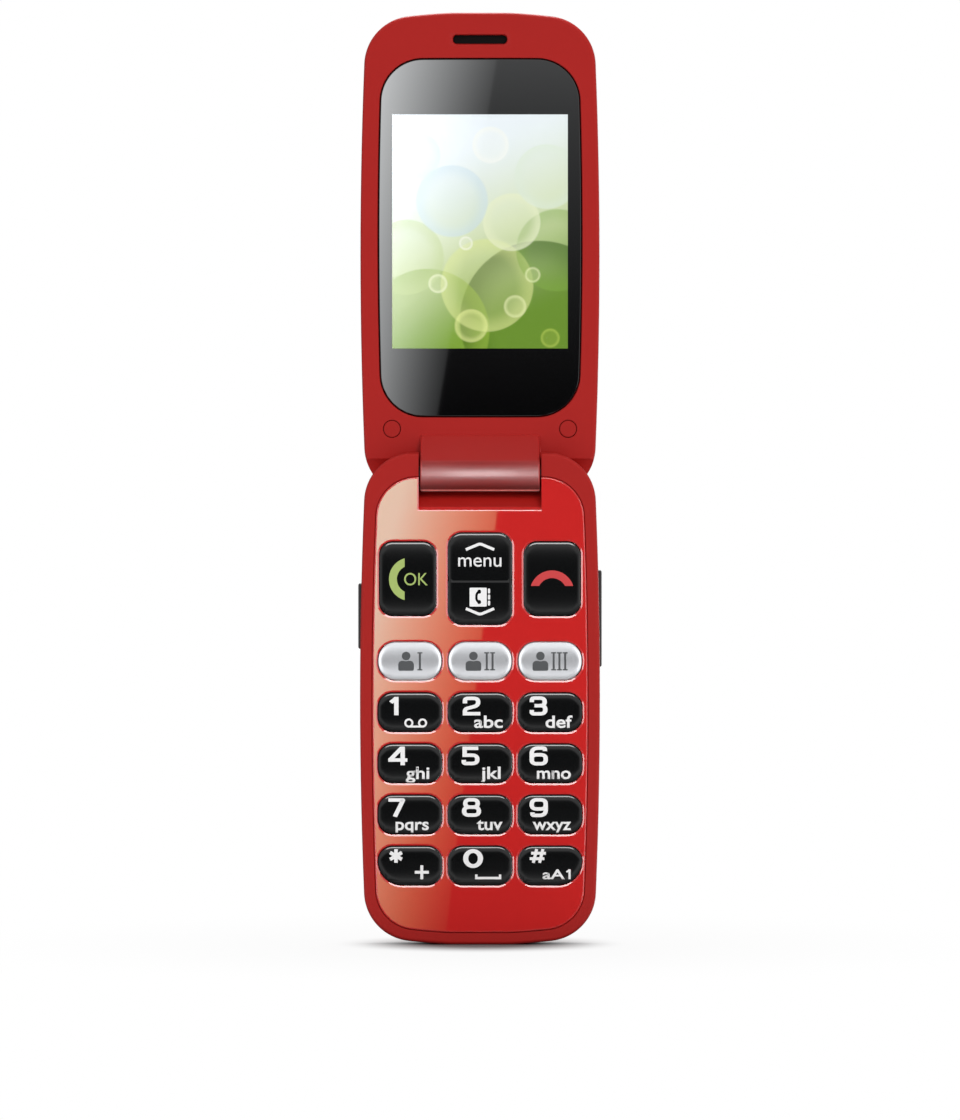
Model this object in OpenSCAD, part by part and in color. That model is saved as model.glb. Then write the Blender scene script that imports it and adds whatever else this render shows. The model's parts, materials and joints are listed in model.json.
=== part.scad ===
// Folding phone, opened flat and standing on its lower end.
// X runs across it, Z along its length, and the keypad and the screen face -Y.
// All sizes are in millimetres. Depths are counted from the base's face toward the back.

/* [Outline] */
// Width of both halves at their widest place
body_w = 50; // [48:0.5:54]
// Length of the base
base_len = 102.8; // [101:0.2:108]
// Length that the base shows past the closed lid
chin = 1.5; // [0.6:0.1:2.4]
// Thickness of the base
base_t = 12; // [11.8:0.1:14]
// Thickness of the lid
lid_t = 6.2; // [6:0.1:8]
// Space between the halves when closed
close_gap = 1.2; // [1.1:0.05:1.6]
// Radius of the outline's corners
corner_r = 10.4; // [9:0.2:12]
// Radius of the bowed sides
side_bow = 1000; // [600:50:2000]
// Radius of the arched outer ends
end_bow = 128; // [100:2:200]
// Radius of the flatter hinge ends
hinge_bow = 300; // [200:10:500]
// Width of the flat in the middle of each end, on which the phone can stand
foot_w = 12; // [10:0.5:14]
// Thickness of the housings' side walls
wall = 1.5; // [1.3:0.1:1.7]

/* [Hinge] */
// Distance from the base's upper end to the hinge axis
hinge_inset = 4.8; // [4.6:0.1:5.2]
// Depth of the hinge axis under the base's face
hinge_depth = 2.6; // [2.5:0.05:3]
// Radius of the barrel
barrel_r = 3.5; // [3.4:0.05:3.7]
// Width of the barrel
barrel_w = 25; // [24:0.5:27]
// Length of the bridge from the axis onto the lid
bridge_reach = 8; // [7.5:0.1:8.5]

/* [Screen] */
// Width of the frame beside the window
lens_side = 3.7; // [3.2:0.1:4.2]
// Height of the frame above the window
lens_head = 9.6; // [9.4:0.1:10.4]
// Distance from the hinge axis to the window
lens_up = 12; // [11.6:0.1:13]
// Corner radius of the window
lens_r = 9; // [7:0.2:10]
// Bow of the window's upper and lower edge
lens_bow = 2000; // [1000:100:3000]
// Thickness of the window
lens_t = 0.95; // [0.8:0.05:1.1]
// Width of the window beside the picture area
screen_side = 2.95; // [2.6:0.05:3.6]
// Distance from the hinge axis to the picture area
screen_up = 26.3; // [25:0.1:27]
// Width of the earpiece slot
slot_w = 11.2; // [9:0.2:12]
// Height of the earpiece slot
slot_h = 1.8; // [1.4:0.1:2]
// Distance from the lid's outer end to the slot's middle
slot_down = 5.6; // [5.4:0.1:6]
// Distance of the screw plugs from the sides
plug_in = 6.6; // [6:0.1:7.4]
// Distance from the hinge axis to the screw plugs
plug_up = 9.5; // [9.3:0.1:9.7]
// Radius of the screw plugs
plug_r = 1.8; // [1.6:0.05:1.9]

/* [Keypad] */
// Width of the frame beside the keypad panel
panel_side = 2.55; // [2.5:0.05:2.8]
// Width of the frame under the panel
panel_foot = 2.5; // [2.4:0.1:3]
// Width of the frame above the panel
panel_head = 5.2; // [5.1:0.1:6]
// Corner radius of the panel
panel_r = 8.4; // [7:0.2:9]
// Thickness of the panel
panel_t = 0.8; // [0.75:0.05:0.85]
// Height of the panel over the frame
panel_proud = 0.25; // [0.2:0.05:0.3]
// Height of the keys over the panel
key_proud = 0.45; // [0.35:0.05:0.5]
// Clearance around each key
key_gap = 0.2; // [0.15:0.05:0.25]
// Travel of the keys
key_travel = 0.4; // [0.3:0.05:0.45]
// Width of the panel beside the keys
key_side = 1.15; // [1.1:0.05:1.5]
// Width of the panel between the columns
col_gap = 1.2; // [1.1:0.05:1.5]
// Height of the panel under the keys
keys_low = 9.95; // [9.5:0.05:11]
// Distance from the hinge bridge to the keys
keys_high = 4.1; // [4:0.1:5]
// Height of the panel between the rows
row_gap = 2.35; // [2.2:0.05:2.6]
// Height of the panel under the menu rocker
menu_gap = 3.45; // [3.4:0.05:4]
// Width of the panel beside the menu rocker
call_gap = 2.4; // [2.3:0.05:2.7]

/* [Side keys] */
// Length of the left side button
side_len = 13.7; // [12:0.1:15]
// Distance from the menu rocker's middle down to the left side button's
side_down = 7.9; // [6:0.1:9]
// Length of the volume rocker
volume_len = 20.2; // [18:0.1:21]
// Distance from the menu rocker's middle down to the volume rocker's
volume_down = 8.4; // [7:0.1:9]
// Thickness of the side keys
side_t = 3; // [2.6:0.1:3.2]
// Height of the side keys over the sides
side_proud = 0.4; // [0.3:0.05:0.5]

/* [Battery] */
// Width of the back beside the battery cover
cover_side = 5; // [4.8:0.1:5.4]
// Height of the back under the battery cover
cover_z = 5; // [4.8:0.1:5.4]
// Distance from the menu rocker's middle down to the battery cover
cover_down = 7.3; // [7:0.1:8]
// Distance from the cover's sides to the battery
battery_in = 2.5; // [2.3:0.1:3]
// Thickness of the battery cover
cover_t = 1.2; // [1:0.05:1.4]

/* [Hidden] */
$fn = 48;
red = [0.63, 0.15, 0.16];
gloss_red = [0.75, 0.14, 0.14];
black = [0.05, 0.05, 0.05];
grey = [0.3, 0.31, 0.32];
silver = [0.86, 0.87, 0.89];
steel = [0.7, 0.7, 0.72];
gold = [0.8, 0.65, 0.3];
green = [0.1, 0.35, 0.2];
film = [0.75, 0.45, 0.15];
// Arc steps of the outline
end_steps = 3;
corner_steps = 6;
side_steps = 4;
// Rounding of the faces' edges
rim_r = 0.7;
back_in = 4;
back_up = 1.65;
cover_in = 6;
cover_up = 3.6;
// Fits
glue = 0.05;
slack = 0.3;
run_fit = 0.05;
seat = 0.1;
// Hinge
hinge_z = base_len - hinge_inset;
lid_top = 2 * hinge_z - chin;
lid_face = 2 * hinge_depth + close_gap;
lid_back = lid_face + lid_t;
lid_split = lid_t - 2.8;
lid_end = 0.4;
y_face = -(lid_back + hinge_depth - barrel_r) / 2;
axis = [hinge_depth, hinge_z];
shoulder_x = barrel_w / 2 + slack;
bridge_foot = [-close_gap, hinge_z - bridge_reach];
bridge_turn = axis - bridge_foot;
bridge_angle = angle(bridge_turn) - asin(barrel_r / norm(bridge_turn));
bridge_dir = [cos(bridge_angle), sin(bridge_angle)];
bridge_out = [sin(bridge_angle), -cos(bridge_angle)];
nose_r = hinge_inset + 0.05;
nose_a = -10;
slope_z = hinge_z - 9.6;
can_r = barrel_r - 1.02;
can_x = barrel_w / 2 - 0.2;
bush_in = 5.5;
can_len = barrel_w - bush_in - 3.2;
can_wall = 0.58;
shaft_x = shoulder_x + 4.5;
shaft_r = 1.3;
shaft_flat = 1;
bush_r = 1.6;
bush_x = shoulder_x + 4.6;
roll_r = 0.9;
lead_w = 2.2;
lead_up = 7.4;
// Depths in the base
split_d = 5.2;
panel_back = panel_t - panel_proud;
key_top = -panel_proud - key_proud;
flange_d = panel_back + glue;
flange_t = 0.5;
flange_out = 0.6;
plate_back = flange_d + flange_t + 0.4;
dome_h = 0.3;
dome_top = plate_back + key_travel + seat;
sheet_t = 0.15;
board_d = dome_top + dome_h + sheet_t;
board_t = 0.9;
board_back = board_d + board_t;
bay_d = board_back + 1.9;
bay_t = 0.6;
recess_d = base_t - cover_t;
inside_d = recess_d - 0.8;
cavity_top = hinge_z - bridge_reach - 1.8;
ledge = 0.4;
// Window and picture area
lens_w = body_w - 2 * lens_side;
lens_len = lid_top - hinge_z - lens_up - lens_head;
screen_w = lens_w - 2 * screen_side;
screen_h = screen_w * 4 / 3;
plug_x = body_w / 2 - plug_in;
// Keys
keys_z0 = panel_foot + keys_low;
keys_z1 = hinge_z - bridge_reach - keys_high;
row_share = 0.145;
row_pitch = row_share * (keys_z1 - keys_z0);
key_w = (body_w - 2 * panel_side - 2 * key_side - 2 * col_gap) / 3;
key_h = row_pitch - row_gap;
key_r = 0.36 * key_h;
corner_key_r = 0.6 * key_h;
col_pitch = key_w + col_gap;
row_low = keys_z0 + key_h / 2;
memory_h = key_h - 0.2;
memory_r = 0.445 * memory_h;
menu_h = keys_z1 - menu_gap - memory_h / 2 - row(4);
menu_z = keys_z1 - menu_h / 2;
menu_r = 2.8;
menu_reach = 0.3125 * menu_h;
call_w = key_w - 1.5;
call_h = menu_h - 3.7;
call_r = 2.7;
call_x = key_w / 2 + call_gap + call_w / 2;
axle_r = 0.7;
axle_d = panel_back + seat + axle_r;
pad_steps = 5;
// Side keys
side_z = menu_z - side_down;
volume_z = menu_z - volume_down;
volume_reach = 0.3 * volume_len;
side_d = board_back + 1.25;
side_edge = body_w / 2 + side_proud;
side_flange = body_w / 2 - wall - 0.9;
board_w = body_w - 8;
// Screws
screw_x = body_w / 2 - 8;
screw_low = 7.6;
screw_high = row(4) + memory_h / 2 + flange_out + 1.9;
screw_r = 0.8;
head_r = 1.5;
boss_r = 1.65;
post_r = 2.2;
// Sound, charging and card
speaker_w = 16;
speaker_h = 13;
motor_r = 4;
usb_w = 7.5;
usb_h = 2.6;
mic_x = screw_x - 5;
sim_w = 26;
sim_h = 16;
magnet_x = 10.25;
// Battery bay
bay_gap = 0.2;
bay_wall = 1.1;
bay_head = 9.3;
cover_w = body_w - 2 * cover_side;
cover_len = menu_z - cover_down - cover_z;
cover_r = 6;
battery_w = cover_w - 2 * battery_in;
battery_z = cover_z + 7.5;
battery_len = menu_z - speaker_h / 2 - bay_head - battery_z;
sim_z = battery_z + 5.5;
// Screen stack, counted from the lid's face
bed_e = lens_t + glue;
web_e = bed_e + 0.7;
cover_wall = 1.2;
panel_e = web_e + 0.02;
light_e = panel_e + 1.2;
card_e = light_e + 1;
inside_e = lid_t - cover_wall;
screen_rim = 1.8;

// Outlines

function angle(v) = atan2(v[1], v[0]);

function tail(p) = [for (i = [1:len(p) - 1]) p[i]];

function arc(c, r, a0, a1, n) =
    [for (i = [0:n]) c + r * [cos(a0 + (a1 - a0) * i / n), sin(a0 + (a1 - a0) * i / n)]];

// Point at the distances rs from s and re from e, on the left (1) or right (-1) of the line s to e
function meet(s, rs, e, re, turn) =
    let (d = norm(e - s), u = (e - s) / d, a = (rs * rs - re * re + d * d) / (2 * d))
    s + a * u + turn * sqrt(rs * rs - a * a) * [-u[1], u[0]];

// Right half of a barrelled outline whose arcs run into each other, drawn i inside it, flat at its ends
function half_ring(w, z0, z1, r, bow0, bow1, i) =
    let (
        s = [w / 2 - side_bow, (z0 + z1) / 2],
        b = [0, z0 + sqrt(bow0 * bow0 - foot_w * foot_w / 4)],
        t = [0, z1 - sqrt(bow1 * bow1 - foot_w * foot_w / 4)],
        c0 = meet(s, side_bow - r, b, bow0 - r, -1),
        c1 = meet(s, side_bow - r, t, bow1 - r, 1),
        a0 = angle(c0 - b),
        a1 = angle(c0 - s),
        a2 = angle(c1 - s),
        a3 = angle(c1 - t)
    )
    concat(
        arc(b, bow0 - i, asin(foot_w / 2 / bow0) - 90, a0, end_steps),
        tail(arc(c0, r - i, a0, a1, corner_steps)),
        tail(arc(s, side_bow - i, a1, a2, side_steps)),
        tail(arc(c1, r - i, a2, a3, corner_steps)),
        tail(arc(t, bow1 - i, a3, 90 - asin(foot_w / 2 / bow1), end_steps))
    );

function ring(w, z0, z1, r, bow0, bow1, i = 0) =
    let (h = half_ring(w, z0, z1, r, bow0, bow1, i), m = len(h) - 1)
    concat(h, [for (k = [m:-1:0]) [-h[k][0], h[k][1]]]);

function base_ring(i) = ring(body_w, 0, base_len, corner_r, end_bow, hinge_bow, i);

function lid_ring(i) =
    ring(body_w, hinge_z - hinge_inset, lid_top, corner_r, hinge_bow, end_bow, i);

function panel_ring(i) =
    ring(body_w - 2 * panel_side, panel_foot, base_len - panel_head, panel_r, end_bow, hinge_bow, i);

function lens_ring(i) =
    ring(lens_w, hinge_z + lens_up, hinge_z + lens_up + lens_len, lens_r, lens_bow, lens_bow, i);

function inside_ring(i) =
    ring(body_w - 2 * wall, wall, cavity_top, corner_r - wall, end_bow - wall, hinge_bow, i);

function cover_ring(i) =
    ring(cover_w, cover_z, cover_z + cover_len, cover_r, end_bow, hinge_bow, i);

// Rounded rectangle with corner radii [lower right, upper right, upper left, lower left]
function pad(x, z, w, h, r, i = 0) =
    concat(
        arc([x + w / 2 - r[0], z - h / 2 + r[0]], r[0] - i, -90, 0, pad_steps),
        arc([x + w / 2 - r[1], z + h / 2 - r[1]], r[1] - i, 0, 90, pad_steps),
        arc([x - w / 2 + r[2], z + h / 2 - r[2]], r[2] - i, 90, 180, pad_steps),
        arc([x - w / 2 + r[3], z - h / 2 + r[3]], r[3] - i, 180, 270, pad_steps)
    );

function even(r) = [r, r, r, r];

// Rounding of a half's edges as [inset, depth], from its face to its back
function edge_steps(t, out, up) =
    concat(
        [for (a = [0:45:90]) [rim_r * (1 - sin(a)), rim_r * (1 - cos(a))]],
        [for (a = [0:22.5:90]) [out * (1 - cos(a)), t - up + up * sin(a)]]
    );

function col(i) = (i - 2) * col_pitch;

function row(i) = row_low + i * row_pitch;

function side_x(z) = body_w / 2 - pow(z - base_len / 2, 2) / (2 * side_bow);

// Drawing aids

// Solid through rings given as [depth, outline], from front to back
module loft(rings) {
    n = len(rings[0][1]);
    m = len(rings) - 1;
    points = [for (r = rings) for (p = r[1]) [p[0], y_face + r[0], p[1]]];
    sides = [for (k = [0:m - 1]) for (i = [0:n - 1])
        let (j = (i + 1) % n) [k * n + i, k * n + j, (k + 1) * n + j, (k + 1) * n + i]];
    polyhedron(points, concat([[for (i = [n - 1:-1:0]) i]], sides, [[for (i = [0:n - 1]) m * n + i]]));
}

// Shape drawn in X and Z, filled between two depths
module prism(d0, d1) {
    translate([0, y_face + d1, 0])
        rotate([90, 0, 0])
            linear_extrude(d1 - d0)
                children();
}

// Shape drawn in depth and Z, filled between two places on X
module along_x(x0, x1) {
    translate([x0, y_face, 0])
        rotate([90, 0, 90])
            linear_extrude(x1 - x0)
                children();
}

module box(x0, x1, d0, d1, z0, z1) {
    translate([x0, y_face + d0, z0])
        cube([x1 - x0, d1 - d0, z1 - z0]);
}

module rod_x(x0, x1, r) {
    translate([x0, y_face + hinge_depth, hinge_z])
        rotate([0, 90, 0])
            cylinder(r = r, h = x1 - x0);
}

module rod_y(x, z, d0, d1, r) {
    translate([x, y_face + d0, z])
        rotate([-90, 0, 0])
            cylinder(r = r, h = d1 - d0);
}

module both_sides() {
    children();
    mirror([1, 0, 0])
        children();
}

module at_screws() {
    for (x = [-screw_x, screw_x])
        for (z = [screw_low, screw_high])
            translate([x, 0, z])
                children();
}

// Base

module base_block() {
    intersection() {
        loft([for (s = edge_steps(base_t, back_in, back_up)) [s[1], base_ring(s[0])]]);
        along_x(-body_w, body_w) {
            nose = axis + (nose_r - 0.2) * [cos(nose_a), sin(nose_a)];
            lean = (slope_z - nose[1]) / (base_t - nose[0]);
            past = base_t + 1;
            translate(axis)
                circle(nose_r);
            polygon([[-9, -9], [past, -9], [past, slope_z + lean], nose, axis, [-9, hinge_z]]);
        }
    }
}

// Room that the lid's barrel and bridge take up in the base over the whole swing
module hinge_pocket() {
    along_x(-shoulder_x, shoulder_x) {
        touch = axis + (barrel_r + slack) * bridge_out;
        far = touch - 2 * bridge_reach * bridge_dir;
        past = lid_back + hinge_inset;
        translate(axis)
            circle(barrel_r + slack);
        polygon([far, touch, axis, [far[0] - past, hinge_z], [far[0] - past, far[1]]]);
        translate([-past, hinge_z - lid_end - slack])
            square([2 * past + base_t, 2 * hinge_inset]);
    }
}

module side_slots() {
    d0 = side_d - side_t / 2 - key_gap;
    d1 = side_d + side_t / 2 + key_gap;
    reach = side_len / 2 + key_gap;
    long_reach = volume_len / 2 + key_gap;
    box(-body_w, -side_flange, d0, d1, side_z - reach, side_z + reach);
    box(side_flange, body_w, d0, d1, volume_z - long_reach, volume_z + long_reach);
}

module usb_opening() {
    box(-usb_w / 2 - slack, usb_w / 2 + slack, board_back - 0.2, board_back + usb_h + 0.25, -1, wall + 3);
}

module key_room(x, z, w, h) {
    translate([x - w / 2 - key_gap, z - h / 2 - flange_out - seat])
        square([w + 2 * key_gap, h + 2 * flange_out + 2 * seat]);
}

module key_rooms() {
    for (c = [1:3])
        for (r = [0:4])
            key_room(col(c), row(r), key_w, key_h);
    key_room(-call_x, menu_z, call_w, call_h);
    key_room(call_x, menu_z, call_w, call_h);
    key_room(0, menu_z, key_w + 2, menu_h - 1);
}

module base_front_housing() {
    color(red)
        difference() {
            union() {
                difference() {
                    intersection() {
                        base_block();
                        box(-body_w, body_w, -9, split_d, -9, base_len + 9);
                    }
                    prism(-9, panel_back)
                        polygon(panel_ring(-seat));
                    prism(plate_back, split_d + 1)
                        polygon(inside_ring(0));
                }
                at_screws()
                    rod_y(0, 0, plate_back - 0.2, board_d, boss_r);
            }
            prism(panel_back - 1, plate_back + 1)
                intersection() {
                    key_rooms();
                    polygon(panel_ring(ledge));
                }
            at_screws()
                rod_y(0, 0, plate_back - 0.5, board_d + 1, screw_r + 0.02);
            hinge_pocket();
            side_slots();
            usb_opening();
            translate([mic_x, y_face + board_back + 0.7, -1])
                cylinder(r = 0.5, h = wall + 3);
            intersection() {
                rod_x(shoulder_x - 1, shaft_x + run_fit, shaft_r + 0.02);
                box(0, body_w, -9, 9, hinge_z - shaft_flat - 0.02, hinge_z + shaft_flat + 0.02);
            }
            rod_x(-bush_x - run_fit, 1 - shoulder_x, bush_r + 0.01);
            box(-bush_x - 3, -bush_x, hinge_depth - roll_r, hinge_depth + roll_r + 0.1,
                cavity_top - 3, hinge_z + roll_r + 0.2);
        }
}

module base_rear_housing() {
    bay_x = battery_w / 2 + bay_gap;
    bay_low = battery_z - bay_gap;
    bay_high = battery_z + battery_len + bay_gap;
    color(red)
        difference() {
            union() {
                difference() {
                    intersection() {
                        base_block();
                        box(-body_w, body_w, split_d, base_t + 9, -9, base_len + 9);
                    }
                    prism(split_d - 1, inside_d)
                        polygon(inside_ring(0));
                }
                box(-bay_x - bay_wall, bay_x + bay_wall, bay_d, inside_d + 0.4,
                    bay_low - bay_wall, bay_high + bay_wall);
                at_screws()
                    rod_y(0, 0, board_back, inside_d + 0.4, post_r);
            }
            hinge_pocket();
            side_slots();
            usb_opening();
            prism(recess_d, base_t + 1)
                polygon(cover_ring(-seat));
            box(-bay_x, bay_x, bay_d + bay_t, base_t + 1, bay_low, bay_high);
            box(-sim_w / 2 - 0.5, sim_w / 2 + 0.5, bay_d - 1, bay_d + 2, sim_z - 0.5, sim_z + sim_h + 0.5);
            box(-5.2, 5.2, bay_d - 1, bay_d + 5, bay_high - 1, bay_high + bay_wall + 1);
            at_screws() {
                rod_y(0, 0, board_back - 1, base_t, screw_r + 0.1);
                rod_y(0, 0, recess_d - 1, base_t, head_r + 0.2);
            }
            for (i = [-2:2])
                box(-6, 6, inside_d - 1, base_t + 1, menu_z + 2 * i, menu_z + 2 * i + 0.9);
        }
}

module keypad_panel() {
    color(gloss_red)
        difference() {
            prism(-panel_proud, panel_back)
                difference() {
                    polygon(panel_ring(0));
                    for (c = [1:3]) {
                        polygon(digit_pad(c, 0, -key_gap));
                        for (r = [1:3])
                            polygon(pad(col(c), row(r), key_w, key_h, even(key_r), -key_gap));
                        polygon(pad(col(c), row(4), key_w, memory_h, even(memory_r), -key_gap));
                    }
                    polygon(pad(-call_x, menu_z, call_w, call_h, even(call_r), -key_gap));
                    polygon(pad(call_x, menu_z, call_w, call_h, even(call_r), -key_gap));
                    polygon(pad(0, menu_z, key_w, menu_h, even(menu_r), -key_gap));
                }
            hinge_pocket();
        }
}

module dome(x, z) {
    translate([x, y_face + dome_top, z])
        rotate([-90, 0, 0])
            cylinder(r1 = 1.5, r2 = 2.4, h = dome_h + sheet_t / 2);
}

module dome_sheet() {
    color(silver)
        difference() {
            union() {
                box(-board_w / 2 + 1, board_w / 2 - 1, board_d - sheet_t, board_d,
                    keys_z0 - 1.85, keys_z1 - 0.1);
                for (c = [1:3])
                    for (r = [0:4])
                        dome(col(c), row(r));
                dome(-call_x, menu_z);
                dome(call_x, menu_z);
                dome(0, menu_z - menu_reach);
                dome(0, menu_z + menu_reach);
            }
            at_screws()
                rod_y(0, 0, board_d - 1, board_d + 1, boss_r + seat);
        }
}

module main_board() {
    color(green)
        difference() {
            prism(board_d, board_back)
                polygon(pad(0, (cavity_top + wall) / 2 + 0.5, board_w, cavity_top - wall - 2, even(6)));
            at_screws()
                rod_y(0, 0, board_d - 1, board_back + 1, screw_r + 0.3);
        }
}

module shield_can() {
    x = battery_w / 2 - 2.5;
    low = sim_z + sim_h + 2.5;
    high = battery_z + battery_len - 2;
    thick = 0.2;
    color(steel)
        difference() {
            box(-x, x, board_back, board_back + 1.3, low, high);
            box(thick - x, x - thick, board_back - 1, board_back + 1.3 - thick, low + thick, high - thick);
        }
}

module sim_holder() {
    x = sim_w / 2;
    high = sim_z + sim_h;
    color(steel)
        difference() {
            box(-x, x, board_back, board_back + 1.4, sim_z, high);
            box(0.4 - x, x + 1, board_back + 0.3, board_back + 1.15, sim_z + 0.4, high - 0.4);
            box(5 - x, x - 5, board_back + 0.3, board_back + 2, sim_z + 4, high - 4);
        }
}

module battery() {
    color(grey)
        box(-battery_w / 2, battery_w / 2, bay_d + bay_t + glue, recess_d - 0.3,
            battery_z, battery_z + battery_len);
}

module battery_contacts() {
    low = battery_z + battery_len;
    color(gold)
        box(-4.5, 4.5, board_back, bay_d + 4.5, low + bay_gap + bay_wall, low + bay_gap + bay_wall + 1.4);
    color(gold)
        for (x = [-3, 0, 3])
            box(x - 0.5, x + 0.5, bay_d + 1.5, bay_d + 3.5, low + glue, low + bay_gap + bay_wall + 0.2);
}

module usb_socket() {
    color(steel)
        difference() {
            box(-usb_w / 2, usb_w / 2, board_back, board_back + usb_h, 0.6, 6.2);
            box(0.35 - usb_w / 2, usb_w / 2 - 0.35, board_back + 0.35, board_back + usb_h - 0.35, -1, 5.4);
        }
    color(black)
        box(-2.2, 2.2, board_back + 0.9, board_back + 1.5, 1.4, 5.5);
}

module microphone() {
    color(steel)
        difference() {
            rod_y(mic_x, 5.2, board_back, board_back + 1.5, 2);
            rod_y(mic_x, 5.2, board_back + 1.3, board_back + 2, 0.5);
        }
}

module loudspeaker() {
    color(grey)
        difference() {
            prism(inside_d - 3.2, inside_d - 0.02)
                polygon(pad(0, menu_z, speaker_w, speaker_h, even(3)));
            prism(inside_d - 0.5, inside_d + 1)
                polygon(pad(0, menu_z, speaker_w, speaker_h, even(3), 1));
        }
}

module vibration_motor() {
    color(steel)
        rod_y(-speaker_w / 2 - 2 - motor_r, menu_z + 1, board_back, board_back + 2.6, motor_r);
}

module antenna() {
    color(gold)
        box(-screw_x, screw_x, inside_d - 0.9, inside_d - 0.02, cavity_top - 3.4, cavity_top - 1);
}

module side_switch(x, z) {
    box(x - 0.75, x + 0.75, board_back, board_back + 1.5, z - 1.6, z + 1.6);
    box(x - 0.95, x + 0.95, board_back + 0.45, board_back + 1.05, z - 0.6, z + 0.6);
}

module side_switches() {
    x = board_w / 2 - 0.95;
    color(grey) {
        side_switch(-x, side_z);
        side_switch(x, volume_z - volume_reach);
        side_switch(x, volume_z + volume_reach);
    }
}

module hall_sensor() {
    color(black)
        box(-magnet_x - 1.45, -magnet_x + 1.45, board_back, board_back + 1.1,
            chin + slot_down - 1.7, chin + slot_down - 0.1);
}

module case_screws() {
    color(steel)
        at_screws()
            difference() {
                union() {
                    rod_y(0, 0, recess_d - 1, recess_d - 0.1, head_r);
                    rod_y(0, 0, plate_back, recess_d - 0.5, screw_r);
                }
                box(-1, 1, recess_d - 0.5, recess_d + 1, -0.2, 0.2);
                box(-0.2, 0.2, recess_d - 0.5, recess_d + 1, -1, 1);
            }
}

module battery_cover() {
    color(red)
        difference() {
            prism(recess_d + 0.02, base_t)
                polygon(cover_ring(0));
            for (i = [0:4])
                box(-8, 8, base_t - 0.35, base_t + 1, cover_z + cover_len - 12 + 1.8 * i,
                    cover_z + cover_len - 11.1 + 1.8 * i);
        }
}

// Keys

// Outline of a key in the lowest row, whose outer lower corner is rounder
function digit_pad(c, r, i = 0) =
    pad(col(c), row(r), key_w, key_h,
        [c == 3 && r == 0 ? corner_key_r : key_r, key_r, key_r,
            c == 1 && r == 0 ? corner_key_r : key_r], i);

// Rounded key top as [inset, depth], down to the depth of its foot
function key_steps(top, foot) =
    [[1.4, top], [0.55, top + 0.07], [0.16, top + 0.2], [0, top + 0.4], [0, foot]];

module key_foot(x, z, w, h) {
    box(x - w / 2 + 1.2, x + w / 2 - 1.2, flange_d, flange_d + flange_t,
        z - h / 2 - flange_out, z + h / 2 + flange_out);
    rod_y(x, z, flange_d + 0.1, plate_back, 1.2);
}

module digit_key(c, r) {
    color(black) {
        loft([for (s = key_steps(key_top, flange_d + 0.3)) [s[1], digit_pad(c, r, s[0])]]);
        key_foot(col(c), row(r), key_w, key_h);
    }
}

module memory_key(c) {
    color(silver) {
        loft([for (s = key_steps(key_top, flange_d + 0.3))
            [s[1], pad(col(c), row(4), key_w, memory_h, even(memory_r), s[0])]]);
        key_foot(col(c), row(4), key_w, memory_h);
    }
}

module phone_key(x) {
    color(black) {
        loft([for (s = key_steps(key_top, flange_d + 0.3))
            [s[1], pad(x, menu_z, call_w, call_h, even(call_r), s[0])]]);
        key_foot(x, menu_z, call_w, call_h);
    }
}

module call_key() phone_key(-call_x);

module end_key() phone_key(call_x);

module menu_rocker() {
    top = key_top + 0.15;
    reach = key_w / 2 + 0.9;
    color(black) {
        loft([for (s = key_steps(top, axle_d - 0.1))
            [s[1], pad(0, menu_z, key_w, menu_h, even(menu_r), s[0])]]);
        translate([-reach, y_face + axle_d, menu_z])
            rotate([0, 90, 0])
                cylinder(r = axle_r, h = 2 * reach);
        for (z = [menu_z - menu_reach, menu_z + menu_reach])
            rod_y(0, z, flange_d, plate_back, 1.2);
        box(-key_w / 2 + 1.6, key_w / 2 - 1.6, top - 0.15, top + 0.2, menu_z - 0.3, menu_z + 0.3);
    }
}

module memory_key_1() memory_key(1);

module memory_key_2() memory_key(2);

module memory_key_3() memory_key(3);

module key_1() digit_key(1, 3);

module key_2() digit_key(2, 3);

module key_3() digit_key(3, 3);

module key_4() digit_key(1, 2);

module key_5() digit_key(2, 2);

module key_6() digit_key(3, 2);

module key_7() digit_key(1, 1);

module key_8() digit_key(2, 1);

module key_9() digit_key(3, 1);

module key_star() digit_key(1, 0);

module key_0() digit_key(2, 0);

module key_hash() digit_key(3, 0);

// Bar of a side key, drawn for the right edge
module side_bar(z, len) {
    d0 = side_d - side_t / 2;
    d1 = side_d + side_t / 2;
    box(side_flange - 0.5, side_edge - 0.3, d0, d1, z - len / 2, z + len / 2);
    box(side_edge - 0.4, side_edge, d0 + 0.3, d1 - 0.3, z - len / 2 + 0.3, z + len / 2 - 0.3);
    box(side_flange - 0.6, side_flange, d0 + 0.4, d1 - 0.4, z - len / 2 - 0.8, z + len / 2 + 0.8);
}

module side_button() {
    color(grey)
        mirror([1, 0, 0]) {
            side_bar(side_z, side_len);
            box(board_w / 2 + key_travel + seat, side_flange, side_d - 0.5, side_d + 0.5,
                side_z - 1, side_z + 1);
        }
}

module volume_rocker() {
    color(grey) {
        side_bar(volume_z, volume_len);
        for (z = [volume_z - volume_reach, volume_z + volume_reach])
            box(board_w / 2 + key_travel + seat, side_flange, side_d - 0.5, side_d + 0.5, z - 1, z + 1);
        rod_y(side_flange - 0.3, volume_z, side_d - 2, side_d + 2, 0.6);
    }
}

// Hinge

module hinge_shaft() {
    cam_x = can_x - 3;
    color(steel) {
        rod_x(can_x - can_len + 1.5, cam_x + 0.5, 0.7);
        rod_x(cam_x, can_x - 0.6, can_r - can_wall - run_fit);
        intersection() {
            rod_x(can_x - 1, shaft_x, shaft_r);
            box(0, body_w, -9, 9, hinge_z - shaft_flat, hinge_z + shaft_flat);
        }
        for (a = [0, 180])
            translate([cam_x, y_face + hinge_depth, hinge_z])
                rotate([a, 0, 0])
                    translate([0, 0, 0.9])
                        cylinder(r = 0.2, h = 0.8);
    }
}

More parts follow.
